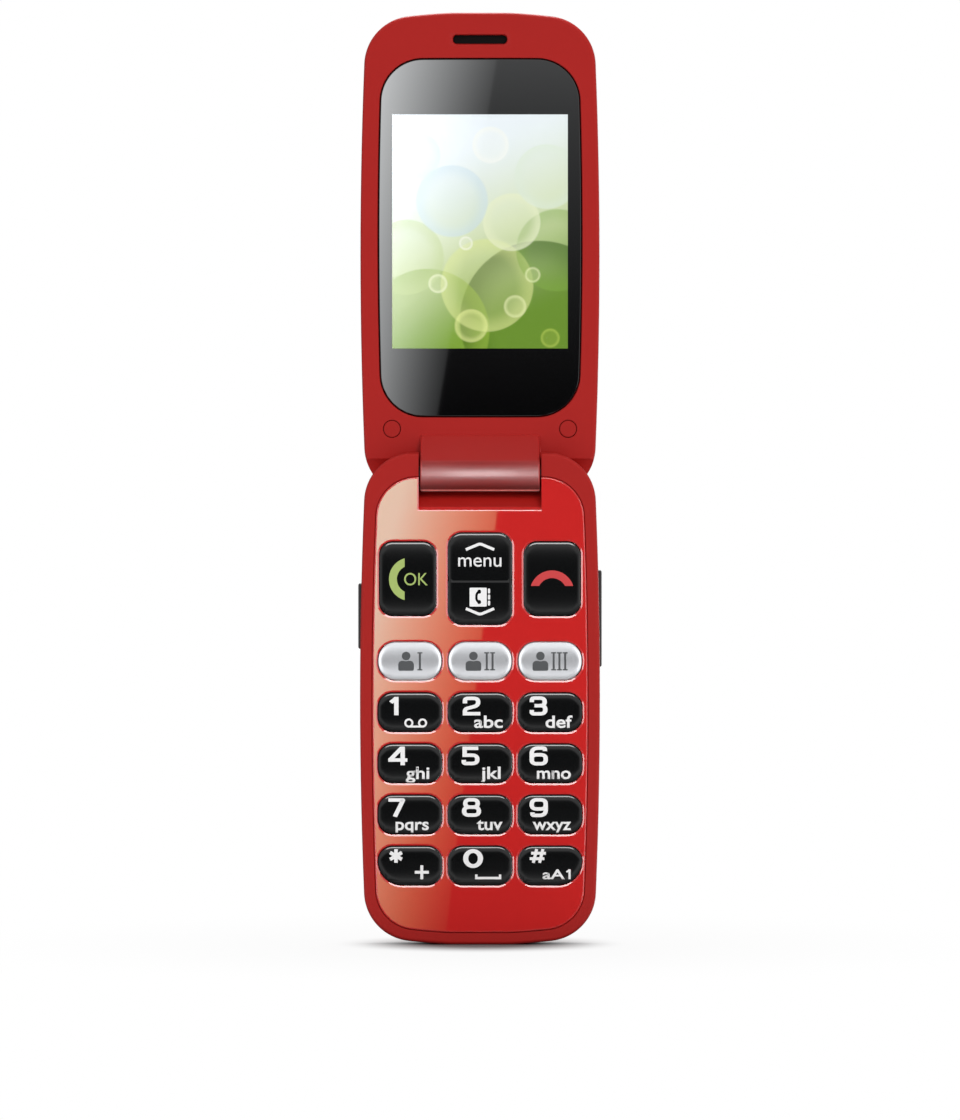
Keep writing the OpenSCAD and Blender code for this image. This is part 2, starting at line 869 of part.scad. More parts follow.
module hinge_bush() {
    color(steel)
        difference() {
            rod_x(-bush_x, bush_in - barrel_w / 2, bush_r);
            rod_x(-bush_x - 1, bush_in - barrel_w / 2 + 1, roll_r + 0.15);
        }
}

module hinge_can() {
    color(steel)
        difference() {
            rod_x(can_x - can_len, can_x, can_r);
            rod_x(can_x - can_len + 0.8, can_x + 1, can_r - can_wall);
        }
}

module hinge_follower() {
    x = can_x - 5.3;
    color(gold)
        difference() {
            rod_x(x, x + 1.95, can_r - can_wall - 0.02);
            rod_x(x - 1, x + 3, 0.75);
            box(x + 1.6, x + 3, hinge_depth - 0.3, hinge_depth + 0.3, hinge_z - 3, hinge_z + 3);
        }
}

// Coil around the hinge axis, as one unbroken wire
module hinge_spring() {
    turns = 6;
    steps = 12;
    sides = 6;
    wire = 0.3;
    mean = 1.3;
    x0 = can_x - can_len + 0.85 + wire;
    length = can_len - 5.3 - 0.9 - 2 * wire;
    count = turns * steps;
    points = [for (i = [0:count]) for (k = [0:sides - 1])
        let (a = 360 * i / steps, b = 360 * k / sides, r = mean + wire * cos(b))
        [x0 + length * i / count + wire * sin(b), y_face + hinge_depth + r * cos(a), hinge_z + r * sin(a)]];
    skin = [for (i = [0:count - 1]) for (k = [0:sides - 1])
        let (a = i * sides + k, b = i * sides + (k + 1) % sides)
        each [[a, b, b + sides], [a, b + sides, a + sides]]];
    color(steel)
        polyhedron(points, concat([[for (k = [sides - 1:-1:0]) k]], skin,
            [[for (k = [0:sides - 1]) count * sides + k]]));
}

module base_flex() {
    color(film) {
        rod_x(-bush_x - 1.2, -barrel_w / 2, roll_r);
        box(-bush_x - 0.4 - lead_w, -bush_x - 0.4, board_d - 0.22, board_d - 0.02, cavity_top - 2, hinge_z);
    }
}

// Lid

module lid_block() {
    difference() {
        loft([for (s = edge_steps(lid_t, cover_in, cover_up)) [lid_face + s[1], lid_ring(s[0])]]);
        rod_x(-body_w, body_w, hinge_inset + slack - 0.05);
        box(-body_w, body_w, -9, lid_back + 9, 0, hinge_z - lid_end);
    }
}

module lid_knuckle() {
    along_x(-barrel_w / 2, barrel_w / 2) {
        back = lid_face + lid_split;
        top = hinge_z + bridge_reach;
        translate(axis)
            circle(barrel_r);
        polygon([axis - barrel_r * bridge_out, [lid_face, top], [back, top],
            [back, hinge_z - lid_end], axis]);
    }
}

module lead_path(thick) {
    end = [lid_face + card_e + 0.3, hinge_z + lead_up];
    run = (end - axis) / norm(end - axis);
    across = thick / 2 * [-run[1], run[0]];
    polygon([axis + across, axis - across, end - across, end + across]);
}

module at_plugs() {
    for (x = [-plug_x, plug_x])
        translate([x, y_face + lid_face, hinge_z + plug_up])
            rotate([-90, 0, 0])
                children();
}

module slot_shape(i) {
    polygon(pad(0, lid_top - slot_down, slot_w, slot_h, even(0.7), i));
}

module lid_inner_housing() {
    color(red)
        difference() {
            union() {
                intersection() {
                    lid_block();
                    box(-body_w, body_w, -9, lid_face + lid_split, 0, lid_top + 9);
                }
                lid_knuckle();
            }
            prism(lid_face - 9, lid_face + bed_e)
                polygon(lens_ring(-0.12));
            prism(lid_face, lid_face + web_e + 1)
                translate([-screen_w / 2 - 0.8, hinge_z + screen_up - 0.8])
                    square([screen_w + 1.6, screen_h + 1.6]);
            prism(lid_face + web_e, lid_back)
                polygon(ring(body_w - 3, hinge_z + lens_up + 2.5, lid_top - 1.5, corner_r - 1.5,
                    hinge_bow, end_bow - 1.5));
            prism(lid_face - 1, lid_back)
                slot_shape(0);
            at_plugs() {
                translate([0, 0, -1])
                    cylinder(r = plug_r + glue, h = 2.75);
                cylinder(r = screw_r + 0.1, h = lid_t);
            }
            rod_x(can_x - can_len - run_fit, barrel_w, can_r + 0.02);
            rod_x(-barrel_w, bush_in - barrel_w / 2 + 0.5, bush_r + run_fit);
            rod_x(-barrel_w, bush_in - barrel_w / 2 + lead_w + 0.3, roll_r + seat);
            along_x(bush_in - barrel_w / 2 + 0.3, bush_in - barrel_w / 2 + lead_w + 0.3)
                lead_path(1);
        }
}

module lid_outer_cover() {
    color(red)
        difference() {
            union() {
                difference() {
                    intersection() {
                        lid_block();
                        box(-body_w, body_w, lid_face + lid_split, lid_back + 9, 0, lid_top + 9);
                    }
                    prism(lid_face, lid_face + inside_e)
                        polygon(ring(body_w - 6, hinge_z + 6, lid_top - 3, corner_r - 3,
                            hinge_bow, end_bow - 3));
                }
                at_plugs()
                    translate([0, 0, lid_split])
                        cylinder(r = 2, h = inside_e - lid_split + 0.2);
            }
            at_plugs()
                cylinder(r = screw_r + 0.02, h = inside_e - 0.2);
        }
}

module display_lens() {
    color(black)
        prism(lid_face, lid_face + lens_t)
            polygon(lens_ring(0));
}

module screen_block(e0, e1, rim) {
    low = hinge_z + screen_up;
    box(-screen_w / 2 - rim, screen_w / 2 + rim, lid_face + e0, lid_face + e1,
        low - 3 - rim, low + screen_h + rim);
}

module display_panel() {
    color(grey)
        screen_block(panel_e, light_e - 0.02, screen_rim);
}

module backlight() {
    color(silver)
        screen_block(light_e, card_e - 0.02, screen_rim);
}

module display_board() {
    color(green)
        screen_block(card_e, card_e + 0.6, screen_rim - 1);
}

module earpiece() {
    z = lid_top - slot_down;
    color(grey)
        difference() {
            box(-6.5, 6.5, lid_face + web_e + 0.02, lid_face + inside_e - 0.6, z - 2.6, z + 2.4);
            box(-slot_w / 2 + 0.6, slot_w / 2 - 0.6, lid_face, lid_face + web_e + 0.5, z - 0.6, z + 0.6);
        }
}

module earpiece_mesh() {
    color(black)
        prism(lid_face + web_e - 0.5, lid_face + web_e - 0.2)
            slot_shape(0.03);
}

module lid_magnet() {
    z = lid_top - slot_down;
    color(steel)
        box(-magnet_x - 2.75, -magnet_x + 2.75, lid_face + web_e + 0.02, lid_face + web_e + 1.6,
            z - 1.5, z + 1.5);
}

module lid_screws() {
    color(steel)
        at_plugs()
            difference() {
                union() {
                    translate([0, 0, 0.95])
                        cylinder(r = head_r, h = 0.8);
                    translate([0, 0, 1.2])
                        cylinder(r = screw_r, h = inside_e - 1.6);
                }
                translate([-1, -0.2, 0])
                    cube([2, 0.4, 1.3]);
                translate([-0.2, -1, 0])
                    cube([0.4, 2, 1.3]);
            }
}

module lid_screw_plugs() {
    color(red)
        at_plugs()
            cylinder(r = plug_r, h = 0.9);
}

module lid_flex() {
    x = bush_in - barrel_w / 2;
    low = hinge_z + screen_up - 3 - screen_rim + 1;
    color(film) {
        rod_x(-barrel_w / 2 + 0.5, x + lead_w, roll_r);
        along_x(x + 0.6, x + lead_w)
            lead_path(0.2);
        box(x + 0.6, x + lead_w, lid_face + card_e + 0.2, lid_face + card_e + 0.4,
            hinge_z + lead_up - 0.2, low - 0.02);
    }
}

base_front_housing();
base_rear_housing();
keypad_panel();
dome_sheet();
main_board();
shield_can();
sim_holder();
battery();
battery_contacts();
usb_socket();
microphone();
loudspeaker();
vibration_motor();
antenna();
side_switches();
hall_sensor();
case_screws();
hinge_shaft();
hinge_bush();
base_flex();
battery_cover();
side_button();
volume_rocker();
call_key();
menu_rocker();
end_key();
memory_key_1();
memory_key_2();
memory_key_3();
key_1();
key_2();
key_3();
key_4();
key_5();
key_6();
key_7();
key_8();
key_9();
key_star();
key_0();
key_hash();
lid_inner_housing();
lid_outer_cover();
display_lens();
display_panel();
backlight();
display_board();
earpiece();
earpiece_mesh();
lid_magnet();
lid_screws();
lid_screw_plugs();
hinge_can();
hinge_follower();
hinge_spring();
lid_flex();
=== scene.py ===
import json
import math
from functools import partial
import bmesh
import bpy
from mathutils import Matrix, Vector
from mathutils.bvhtree import BVHTree

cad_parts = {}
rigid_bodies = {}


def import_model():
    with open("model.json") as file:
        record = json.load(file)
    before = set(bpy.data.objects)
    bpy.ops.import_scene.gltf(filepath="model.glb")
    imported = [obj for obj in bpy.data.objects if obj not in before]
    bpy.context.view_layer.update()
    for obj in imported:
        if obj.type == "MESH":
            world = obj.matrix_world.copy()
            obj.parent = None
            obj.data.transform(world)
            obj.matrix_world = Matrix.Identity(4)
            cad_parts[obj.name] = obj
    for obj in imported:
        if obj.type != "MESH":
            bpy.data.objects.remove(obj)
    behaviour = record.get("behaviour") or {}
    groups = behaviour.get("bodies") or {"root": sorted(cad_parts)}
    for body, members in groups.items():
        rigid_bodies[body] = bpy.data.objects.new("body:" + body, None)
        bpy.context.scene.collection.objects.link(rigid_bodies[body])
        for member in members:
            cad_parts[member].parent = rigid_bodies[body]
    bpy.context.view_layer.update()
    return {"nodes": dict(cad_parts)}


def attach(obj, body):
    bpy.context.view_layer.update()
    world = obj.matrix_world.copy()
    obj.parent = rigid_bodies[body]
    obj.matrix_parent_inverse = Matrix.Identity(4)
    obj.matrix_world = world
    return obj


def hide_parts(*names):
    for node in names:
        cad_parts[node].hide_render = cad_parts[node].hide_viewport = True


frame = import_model()
scene = bpy.context.scene
mm = 0.001
faceY = -5.85  # front face of the base, depths are counted from it
far = 40  # cutters run this far out from the middle, past the sides


def addObject(name, data):
    obj = bpy.data.objects.new(name, data)
    scene.collection.objects.link(obj)
    return obj


# camera first
shot = {"away": 2.0, "height": 80.1 * mm, "tall": 233.3 * mm, "sensor": 36.0}


def placeCamera():
    cam = bpy.data.cameras.new("photoCamera")
    cam.sensor_fit = "AUTO"
    cam.sensor_width = shot["sensor"]
    cam.lens = shot["sensor"] * (shot["away"] + faceY * mm) / shot["tall"]
    cam.clip_end = 50
    obj = addObject("photoCamera", cam)
    obj.location = (0, -shot["away"], shot["height"])
    obj.rotation_euler = (math.radians(90), 0, 0)
    scene.camera = obj


placeCamera()


# drawing aids, in millimetres until makePiece
def arc(c, r, a0, a1, n):
    return [(c[0] + r * math.cos(a0 + (a1 - a0) * i / n),
             c[1] + r * math.sin(a0 + (a1 - a0) * i / n)) for i in range(n + 1)]


def quarterTurn(n):  # cosine and sine along a rounded edge
    return arc((0, 0), 1, 0, math.pi / 2, n)


def meet(s, rs, e, re, turn):  # where two circles cross
    d = math.hypot(e[0] - s[0], e[1] - s[1])
    u = ((e[0] - s[0]) / d, (e[1] - s[1]) / d)
    a = (rs * rs - re * re + d * d) / (2 * d)
    h = turn * math.sqrt(rs * rs - a * a)
    return (s[0] + a * u[0] - h * u[1], s[1] + a * u[1] + h * u[0])


def angleOf(p, c):
    return math.atan2(p[1] - c[1], p[0] - c[0])


outline = {"sideBow": 1000.0, "endBow": 128.0, "hingeBow": 300.0, "foot": 12.0,
           "ends": 10, "corner": 20, "side": 14}


def barrelRing(w, z0, z1, r, bow0, bow1, inset=0.0):  # bowed on all sides, with a short flat at each end
    flat, bow = outline["foot"] / 2, outline["sideBow"]
    s = (w / 2 - bow, (z0 + z1) / 2)
    b = (0, z0 + math.sqrt(bow0 * bow0 - flat * flat))
    t = (0, z1 - math.sqrt(bow1 * bow1 - flat * flat))
    c0 = meet(s, bow - r, b, bow0 - r, -1)
    c1 = meet(s, bow - r, t, bow1 - r, 1)
    a0, a1, a2, a3 = angleOf(c0, b), angleOf(c0, s), angleOf(c1, s), angleOf(c1, t)
    quarter = math.pi / 2
    half = arc(b, bow0 - inset, math.asin(flat / bow0) - quarter, a0, outline["ends"])
    half += arc(c0, r - inset, a0, a1, outline["corner"])[1:]
    half += arc(s, bow - inset, a1, a2, outline["side"])[1:]
    half += arc(c1, r - inset, a2, a3, outline["corner"])[1:]
    half += arc(t, bow1 - inset, a3, quarter - math.asin(flat / bow1), outline["ends"])[1:]
    return half + [(-x, z) for x, z in reversed(half)]


def padRing(x, z, w, h, radii, inset=0.0, n=12):
    if not isinstance(radii, (list, tuple)):
        radii = (radii,) * 4
    q, ring = math.pi / 2, []
    for k, (sx, sz) in enumerate(((1, -1), (1, 1), (-1, 1), (-1, -1))):
        r = radii[k]
        c = (x + sx * (w / 2 - r), z + sz * (h / 2 - r))
        ring += arc(c, r - inset, (k - 1) * q, k * q, n)
    return ring


def circleRing(x, z, r, n=64):
    return arc((x, z), r, 0, 2 * math.pi * (n - 1) / n, n - 1)


def makePiece(name, verts, faces):
    mesh = bpy.data.meshes.new(name)
    mesh.from_pydata([(x * mm, y * mm, z * mm) for x, y, z in verts], [], faces)
    bm = bmesh.new()
    bm.from_mesh(mesh)
    bmesh.ops.remove_doubles(bm, verts=bm.verts, dist=1e-7)
    bmesh.ops.recalc_face_normals(bm, faces=bm.faces)
    bm.to_mesh(mesh)
    bm.free()
    return addObject(name, mesh)


def stack(name, rings):  # a skin over rings of like points, closed at both ends
    n, last = len(rings[0]), (len(rings) - 1) * len(rings[0])
    faces = [tuple(range(n)), tuple(range(last, last + n))]
    for k in range(0, last, n):
        faces += [(k + i, k + n + i, k + n + (i + 1) % n, k + (i + 1) % n) for i in range(n)]
    return makePiece(name, sum(rings, []), faces)


def loft(name, rings):
    return stack(name, [[(x, faceY + d, z) for x, z in ring] for d, ring in rings])


def prism(name, d0, d1, ring):
    return loft(name, [(d0, ring), (d1, ring)])


def alongX(name, x0, x1, profile):
    return stack(name, [[(x, faceY + d, z) for d, z in profile] for x in (x0, x1)])


def alongZ(name, z0, z1, ring):
    return stack(name, [[(x, faceY + d, z) for x, d in ring] for z in (z0, z1)])


def bar(name, x0, x1, d0, d1, z0, z1):
    return alongX(name, x0, x1, [(d0, z0), (d1, z0), (d1, z1), (d0, z1)])


def rodX(name, x0, x1, r, n=96):
    return alongX(name, x0, x1, circleRing(*axis, r, n))


def rodY(name, x, z, d0, d1, r, n=48):
    return prism(name, d0, d1, circleRing(x, z, r, n))


def frontEdge(ringAt, front, r, n):
    return [(front + r * (1 - c), ringAt(r * (1 - s))) for c, s in quarterTurn(n)]


def rearEdge(ringAt, rear, out, up, n):
    return [(rear - up + up * s, ringAt(out * (1 - c))) for c, s in quarterTurn(n)]


def filletHole(name, ringAt, top, bottom, fillet, gap=0.0, steps=6):
    way = math.copysign(1, bottom - top)
    rings = [(top - way, ringAt(-gap - fillet))]
    for c, s in reversed(quarterTurn(steps)):
        rings.append((top + way * fillet * (1 - s), ringAt(-gap - fillet * (1 - c))))
    rings.append((bottom, ringAt(-gap)))
    return loft(name, rings)


def settle(obj):  # modifiers become the mesh
    dg = bpy.context.evaluated_depsgraph_get()
    mesh = bpy.data.meshes.new_from_object(obj.evaluated_get(dg), preserve_all_data_layers=True, depsgraph=dg)
    old = obj.data
    obj.modifiers.clear()
    obj.data = mesh
    mesh.name = obj.name
    if old.users == 0:
        bpy.data.meshes.remove(old)
    return obj


def carve(obj, *cutters, how="DIFFERENCE"):
    for cutter in cutters:
        m = obj.modifiers.new("carve", "BOOLEAN")
        m.operation, m.solver, m.object = how, "EXACT", cutter
        settle(obj)
        bpy.data.objects.remove(cutter)
    return obj


def joinPieces(obj, *others):
    bm = bmesh.new()
    bm.from_mesh(obj.data)
    for o in others:
        bm.from_mesh(o.data)
        bpy.data.objects.remove(o)
    bm.to_mesh(obj.data)
    bm.free()
    return obj


def softEdges(obj, width=0.09, segments=2, sharp=38, limit=32):
    if width:
        m = obj.modifiers.new("edge", "BEVEL")
        m.width, m.segments, m.limit_method = width * mm, segments, "ANGLE"
        m.angle_limit, m.use_clamp_overlap = math.radians(limit), True
        settle(obj)
    obj.data.polygons.foreach_set("use_smooth", [True] * len(obj.data.polygons))
    obj.data.set_sharp_from_angle(angle=math.radians(sharp))
    m = obj.modifiers.new("weight", "WEIGHTED_NORMAL")
    m.mode, m.keep_sharp, m.weight = "FACE_AREA", True, 60
    return settle(obj)


def dress(obj, material, body, slot, *nodes):
    obj.data.materials.clear()
    obj.data.materials.append(material)
    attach(obj, body)
    if nodes:
        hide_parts(*nodes)
    return obj


# finishes
def srgb(r, g, b):
    def lin(v):
        v /= 255
        return v / 12.92 if v <= 0.04045 else ((v + 0.055) / 1.055) ** 2.4
    return (lin(r), lin(g), lin(b), 1.0)


def feed(tree, node, values):  # each input gets a link or a value of its own
    for label, v in values.items():
        if isinstance(v, bpy.types.NodeSocket):
            tree.links.new(v, node.inputs[label])
        else:
            node.inputs[label].default_value = v
    return node


def nodeIn(tree, kind, values=None, **settings):
    n = tree.nodes.new(kind)
    for k, v in settings.items():
        setattr(n, k, v)
    return feed(tree, n, values or {})


def mathIn(tree, op, *values):
    return nodeIn(tree, "ShaderNodeMath", dict(enumerate(values)), operation=op).outputs[0]


def reckoners(tree):
    return [partial(mathIn, tree, op) for op in ("ADD", "SUBTRACT", "MULTIPLY", "MULTIPLY_ADD")]


def mixIn(tree, fac, a, b):
    return nodeIn(tree, "ShaderNodeMix", {0: fac, 6: a, 7: b}, data_type="RGBA").outputs[2]


def blendIn(tree, fac, a, b):
    return nodeIn(tree, "ShaderNodeMixShader", {0: fac, 1: a, 2: b}).outputs[0]


def rampIn(tree, v, lo, hi, out0=0.0, out1=1.0, smooth=True):
    values = dict(enumerate((v, lo, hi, out0, out1)))
    kind = "SMOOTHSTEP" if smooth else "LINEAR"
    return nodeIn(tree, "ShaderNodeMapRange", values, interpolation_type=kind).outputs[0]


def spotIn(tree, kind="Object"):  # X, Y and Z of the shaded place or, in the world, of the direction
    at = nodeIn(tree, "ShaderNodeTexCoord").outputs[kind]
    return nodeIn(tree, "ShaderNodeSeparateXYZ", {0: at}).outputs


def makeGroup(name, kind, ins, outs):
    g = bpy.data.node_groups.new(name, kind)
    for label, socket, value in ins:
        s = g.interface.new_socket(label, in_out="INPUT", socket_type="NodeSocket" + socket)
        s.default_value = value
    for label, socket in outs:
        g.interface.new_socket(label, in_out="OUTPUT", socket_type="NodeSocket" + socket)
    return g, g.nodes.new("NodeGroupInput").outputs, g.nodes.new("NodeGroupOutput")


def mouldedSkin():  # fine moulded grain, slow colour drift and uneven gloss
    g, give, out = makeGroup("mouldedSkin", "ShaderNodeTree",
                             (("Colour", "Color", (0.5, 0.5, 0.5, 1)), ("Grain", "Float", 5000.0),
                              ("Drift", "Float", 0.06), ("Rough", "Float", 0.4), ("Uneven", "Float", 0.08)),
                             (("Colour", "Color"), ("Rough", "Float"), ("Height", "Float")))
    add, sub, mul, mulAdd = reckoners(g)
    at = nodeIn(g, "ShaderNodeTexCoord").outputs["Object"]
    grain = nodeIn(g, "ShaderNodeTexNoise", {"Vector": at, "Scale": give["Grain"], "Detail": 2.5}).outputs[0]
    slow = nodeIn(g, "ShaderNodeTexNoise", {"Vector": at, "Scale": 38, "Detail": 3}).outputs[0]
    fine, slow = sub(grain, 0.5), sub(slow, 0.5)
    speck = mulAdd(fine, 0.05, mulAdd(slow, give["Drift"], 1.0))
    tone = nodeIn(g, "ShaderNodeVectorMath", {0: give["Colour"], "Scale": speck}, operation="SCALE").outputs[0]
    rough = mulAdd(add(slow, fine), give["Uneven"], give["Rough"])
    feed(g, out, {"Colour": tone, "Rough": rough, "Height": grain})
    return g


skin = mouldedSkin()


def newFinish(name, bare=False):
    mat = bpy.data.materials.new(name)
    mat.use_nodes = True
    if bare:
        mat.node_tree.nodes.clear()
    return mat, mat.node_tree


def finish(name, colour, rough, grain=5000.0, depth=0.0, drift=0.06, uneven=0.08, metallic=0.0, coat=0.0,
           specular=0.5, ior=1.5, clear=0.0):
    mat, t = newFinish(name)
    values = {"Colour": colour, "Grain": grain, "Drift": drift, "Rough": rough, "Uneven": uneven}
    g = nodeIn(t, "ShaderNodeGroup", values, node_tree=skin).outputs
    p = feed(t, t.nodes["Principled BSDF"], {
        "Base Color": g["Colour"], "Roughness": g["Rough"], "Metallic": metallic, "Coat Weight": coat,
        "Coat Roughness": 0.05, "Specular IOR Level": specular, "IOR": ior, "Transmission Weight": clear})
    if depth:
        bump = nodeIn(t, "ShaderNodeBump", {"Strength": 0.5, "Distance": depth * mm, "Height": g["Height"]})
        feed(t, p, {"Normal": bump.outputs["Normal"]})
    if not clear:
        mat.diffuse_color = colour
    return mat


redShell = finish("redShell", srgb(160, 26, 22), 0.42, 5200, 0.004, specular=0.25)
redLid = finish("redLid", srgb(162, 26, 22), 0.42, 5200, 0.004, specular=0.25)
redPanel = finish("redPanel", srgb(195, 38, 37), 0.012, 3000, 0.0, 0.03, 0.004)
redBarrel = finish("redBarrel", srgb(156, 27, 24), 0.46, 5200, 0.002, specular=0.4)
keyBlack = finish("keyBlack", srgb(8, 9, 10), 0.12, 4200, uneven=0.03, specular=0.42)
keySilver = finish("keySilver", srgb(226, 228, 232), 0.16, 4200, 0.0, 0.03, 0.03, metallic=0.6)
sideGrey = finish("sideGrey", srgb(42, 37, 37), 0.4, 5200, 0.003)
inkWhite = finish("inkWhite", srgb(234, 234, 234), 0.5, 3000, drift=0.02)
inkGreen = finish("inkGreen", srgb(160, 181, 101), 0.5, 3000, drift=0.02)
inkRed = finish("inkRed", srgb(196, 58, 60), 0.5, 3000, drift=0.02)
inkGrey = finish("inkGrey", srgb(76, 78, 80), 0.5, 3000, drift=0.02)
darkResin = finish("darkResin", srgb(24, 24, 25), 0.5, 4000, 0.003)
printedGlass = finish("printedGlass", srgb(5, 5, 6), 0.015, 3000, 0.0, 0.02, 0.005, specular=0.95)
clearGlass = finish("windowGlass", (0.97, 0.98, 0.98, 1), 0.015, drift=0.01, uneven=0.006, ior=1.49, clear=1.0)
maskBlack = finish("maskBlack", srgb(6, 6, 6), 0.9, 3000, drift=0.02, specular=0.0)
boardGreen = finish("boardGreen", srgb(28, 92, 54), 0.4, 2500, 0.004, 0.15, coat=0.4)
springSteel = finish("springSteel", srgb(178, 178, 182), 0.3, 6000, 0.002, metallic=1.0)
gunMetal = finish("gunMetal", srgb(52, 50, 52), 0.36, 6000, 0.002, metallic=1.0)
meshBlack = finish("meshBlack", srgb(7, 4, 4), 0.6, 9000, 0.003, specular=0.15)
goldBrass = finish("goldBrass", srgb(204, 168, 92), 0.28, 6000, 0.001, metallic=1.0)
amberFilm = finish("amberFilm", srgb(176, 106, 38), 0.35, 3000, 0.001, coat=0.3)
lightGuide = finish("lightGuide", srgb(226, 228, 232), 0.3, 4000, 0.001)
cellWrap = finish("cellWrap", srgb(52, 54, 58), 0.5, 3500, 0.004)
print("finishes ready")

# shells
hinge = {"depth": 2.6, "z": 98.0, "inset": 4.8, "barrel": 3.5, "barrelWidth": 25.0, "slack": 0.3,
         "reach": 8.0, "closeGap": 1.2, "noseRadius": 4.85, "noseAngle": -10.0, "slopeZ": 88.4}
base = {"width": 50.0, "length": 102.8, "thick": 12.0, "corner": 10.4, "rim": 0.7, "backIn": 4.0,
        "backUp": 1.65, "split": 5.2, "wall": 1.5, "plateBack": 1.5, "inside": 10.0, "cavityTop": 88.2,
        "recess": 10.8}
lid = {"face": 6.4, "thick": 6.2, "top": 194.5, "split": 3.4, "end": 0.4, "coverIn": 6.0, "coverUp": 3.6}
keypad = {"side": 2.55, "low": 2.5, "high": 97.6, "corner": 8.4, "front": -0.25, "back": 0.55, "gap": 0.2,
          "edge": 0.35, "lip": 0.34, "lipDeep": 0.1, "notch": 90.6, "notchLip": 0.27}
cover = {"width": 40.0, "low": 5.0, "high": 69.0, "corner": 6.0, "front": 10.82, "edge": 0.35, "soft": 0.1}
window = {"width": 42.6, "low": 110.0, "high": 184.9, "corner": 9.0, "bow": 2000.0, "thick": 0.95, "edge": 0.3}
sideKeys = {"front": 3.1, "rear": 6.1, "root": 22.1, "tip": 25.4, "flange": 0.7, "slotIn": 2.4,
            "caps": {"side_button": (-1, 68.4, 13.7), "volume_rocker": (1, 67.9, 20.2)}}
usbMouth = {"depth": 4.7, "wide": 8.1, "tall": 3.1, "radius": 0.9}
micHole = {"x": 12.0, "depth": 4.05, "radius": 0.5}
axis = (hinge["depth"], hinge["z"])
lowBow, midBow = outline["endBow"], outline["hingeBow"]
baseRing = partial(barrelRing, base["width"], 0, base["length"], base["corner"], lowBow, midBow)
lidRing = partial(barrelRing, base["width"], hinge["z"] - hinge["inset"], lid["top"], base["corner"],
                  midBow, lowBow)
panelRing = partial(barrelRing, base["width"] - 2 * keypad["side"], keypad["low"], keypad["high"],
                    keypad["corner"], lowBow, midBow)
lensRing = partial(barrelRing, window["width"], window["low"], window["high"], window["corner"],
                   window["bow"], window["bow"])
insideRing = partial(barrelRing, base["width"] - 2 * base["wall"], base["wall"], base["cavityTop"],
                     base["corner"] - base["wall"], lowBow - base["wall"], midBow)
coverRing = partial(barrelRing, cover["width"], cover["low"], cover["high"], cover["corner"], lowBow, midBow)


def shellRings(ringAt, face, thick, out, up):
    return frontEdge(ringAt, face, base["rim"], 8) + rearEdge(ringAt, face + thick, out, up, 14)


def baseBlock(name):
    block = loft(name, shellRings(baseRing, 0, base["thick"], base["backIn"], base["backUp"]))
    r, a = hinge["noseRadius"], math.radians(hinge["noseAngle"])
    tip = (axis[0] + (r - 0.2) * math.cos(a), axis[1] + (r - 0.2) * math.sin(a))
    lean = (hinge["slopeZ"] - tip[1]) / (base["thick"] - tip[0])
    past = base["thick"] + 1
    start = math.radians(hinge["noseAngle"] - 0.6)
    profile = [(-9, -9), (past, -9), (past, hinge["slopeZ"] + lean)]
    profile += arc(axis, r, start, math.pi, 60) + [(-9, hinge["z"])]
    return carve(block, alongX("nose", -far, far, profile), how="INTERSECT")


def bridgeLine():  # from the lid's face to the barrel, and square to it
    foot = (-hinge["closeGap"], hinge["z"] - hinge["reach"])
    turn = (axis[0] - foot[0], axis[1] - foot[1])
    a = math.atan2(turn[1], turn[0]) - math.asin(hinge["barrel"] / math.hypot(*turn))
    return (math.cos(a), math.sin(a)), (math.sin(a), -math.cos(a))


def pocketCutter():  # room for the barrel between the shoulders, open or closed
    along, out = bridgeLine()
    x, r = hinge["barrelWidth"] / 2 + hinge["slack"], hinge["barrel"] + hinge["slack"]
    touch = (axis[0] + r * out[0], axis[1] + r * out[1])
    end = (touch[0] - 16 * along[0], touch[1] - 16 * along[1])
    profile = [end] + arc(axis, r, angleOf(touch, axis), 0.0, 30)
    profile += [(axis[0] + 30, axis[1] - 0.7), (axis[0] + 30, axis[1] + 9)]
    profile += [(end[0] - 17, axis[1] + 9), (end[0] - 17, end[1])]
    return alongX("pocket", -x, x, profile)


def sideCutters():
    gap, x = keypad["gap"], base["width"] / 2 - sideKeys["slotIn"]
    cutters = []
    for sign, z, length in sideKeys["caps"].values():
        x0, x1 = sorted((sign * x, sign * far))
        cutters.append(bar("sideSlot", x0, x1, sideKeys["front"] - gap, sideKeys["rear"] + gap,
                           z - length / 2 - gap, z + length / 2 + gap))
    mouth = padRing(0, usbMouth["depth"], usbMouth["wide"], usbMouth["tall"], usbMouth["radius"])
    return cutters + [alongZ("usbMouth", -1, base["wall"] + 3, mouth)]


keys = {"width": 13.4, "height": 8.3, "radius": 2.99, "cornerRadius": 4.98, "colPitch": 14.6,
        "rows": (16.6, 27.25, 37.9, 48.55, 59.2), "memoryHeight": 8.1, "memoryRadius": 3.6,
        "tallZ": 76.3, "menuHeight": 19.2, "menuRadius": 2.8, "callWidth": 11.9, "callHeight": 15.5,
        "callRadius": 2.7, "callX": 15.05, "top": -0.7, "menuTop": -0.55, "foot": 0.9, "edge": 1.1,
        "drop": 0.24, "crown": 0.14, "silverCrown": 0.16, "slim": 0.14, "lower": 0.3, "lowerTall": 0.2}
keyRows = (("key_star", "key_0", "key_hash"), ("key_7", "key_8", "key_9"), ("key_4", "key_5", "key_6"),
           ("key_1", "key_2", "key_3"), ("memory_key_1", "memory_key_2", "memory_key_3"))
keyRoom = {"side": 0.2, "end": 0.7, "front": -0.45, "rear": 2.5}
rowOf = {name: z for names, z in zip(keyRows, keys["rows"]) for name in names}


def isSilver(name):
    return name.startswith("memory")


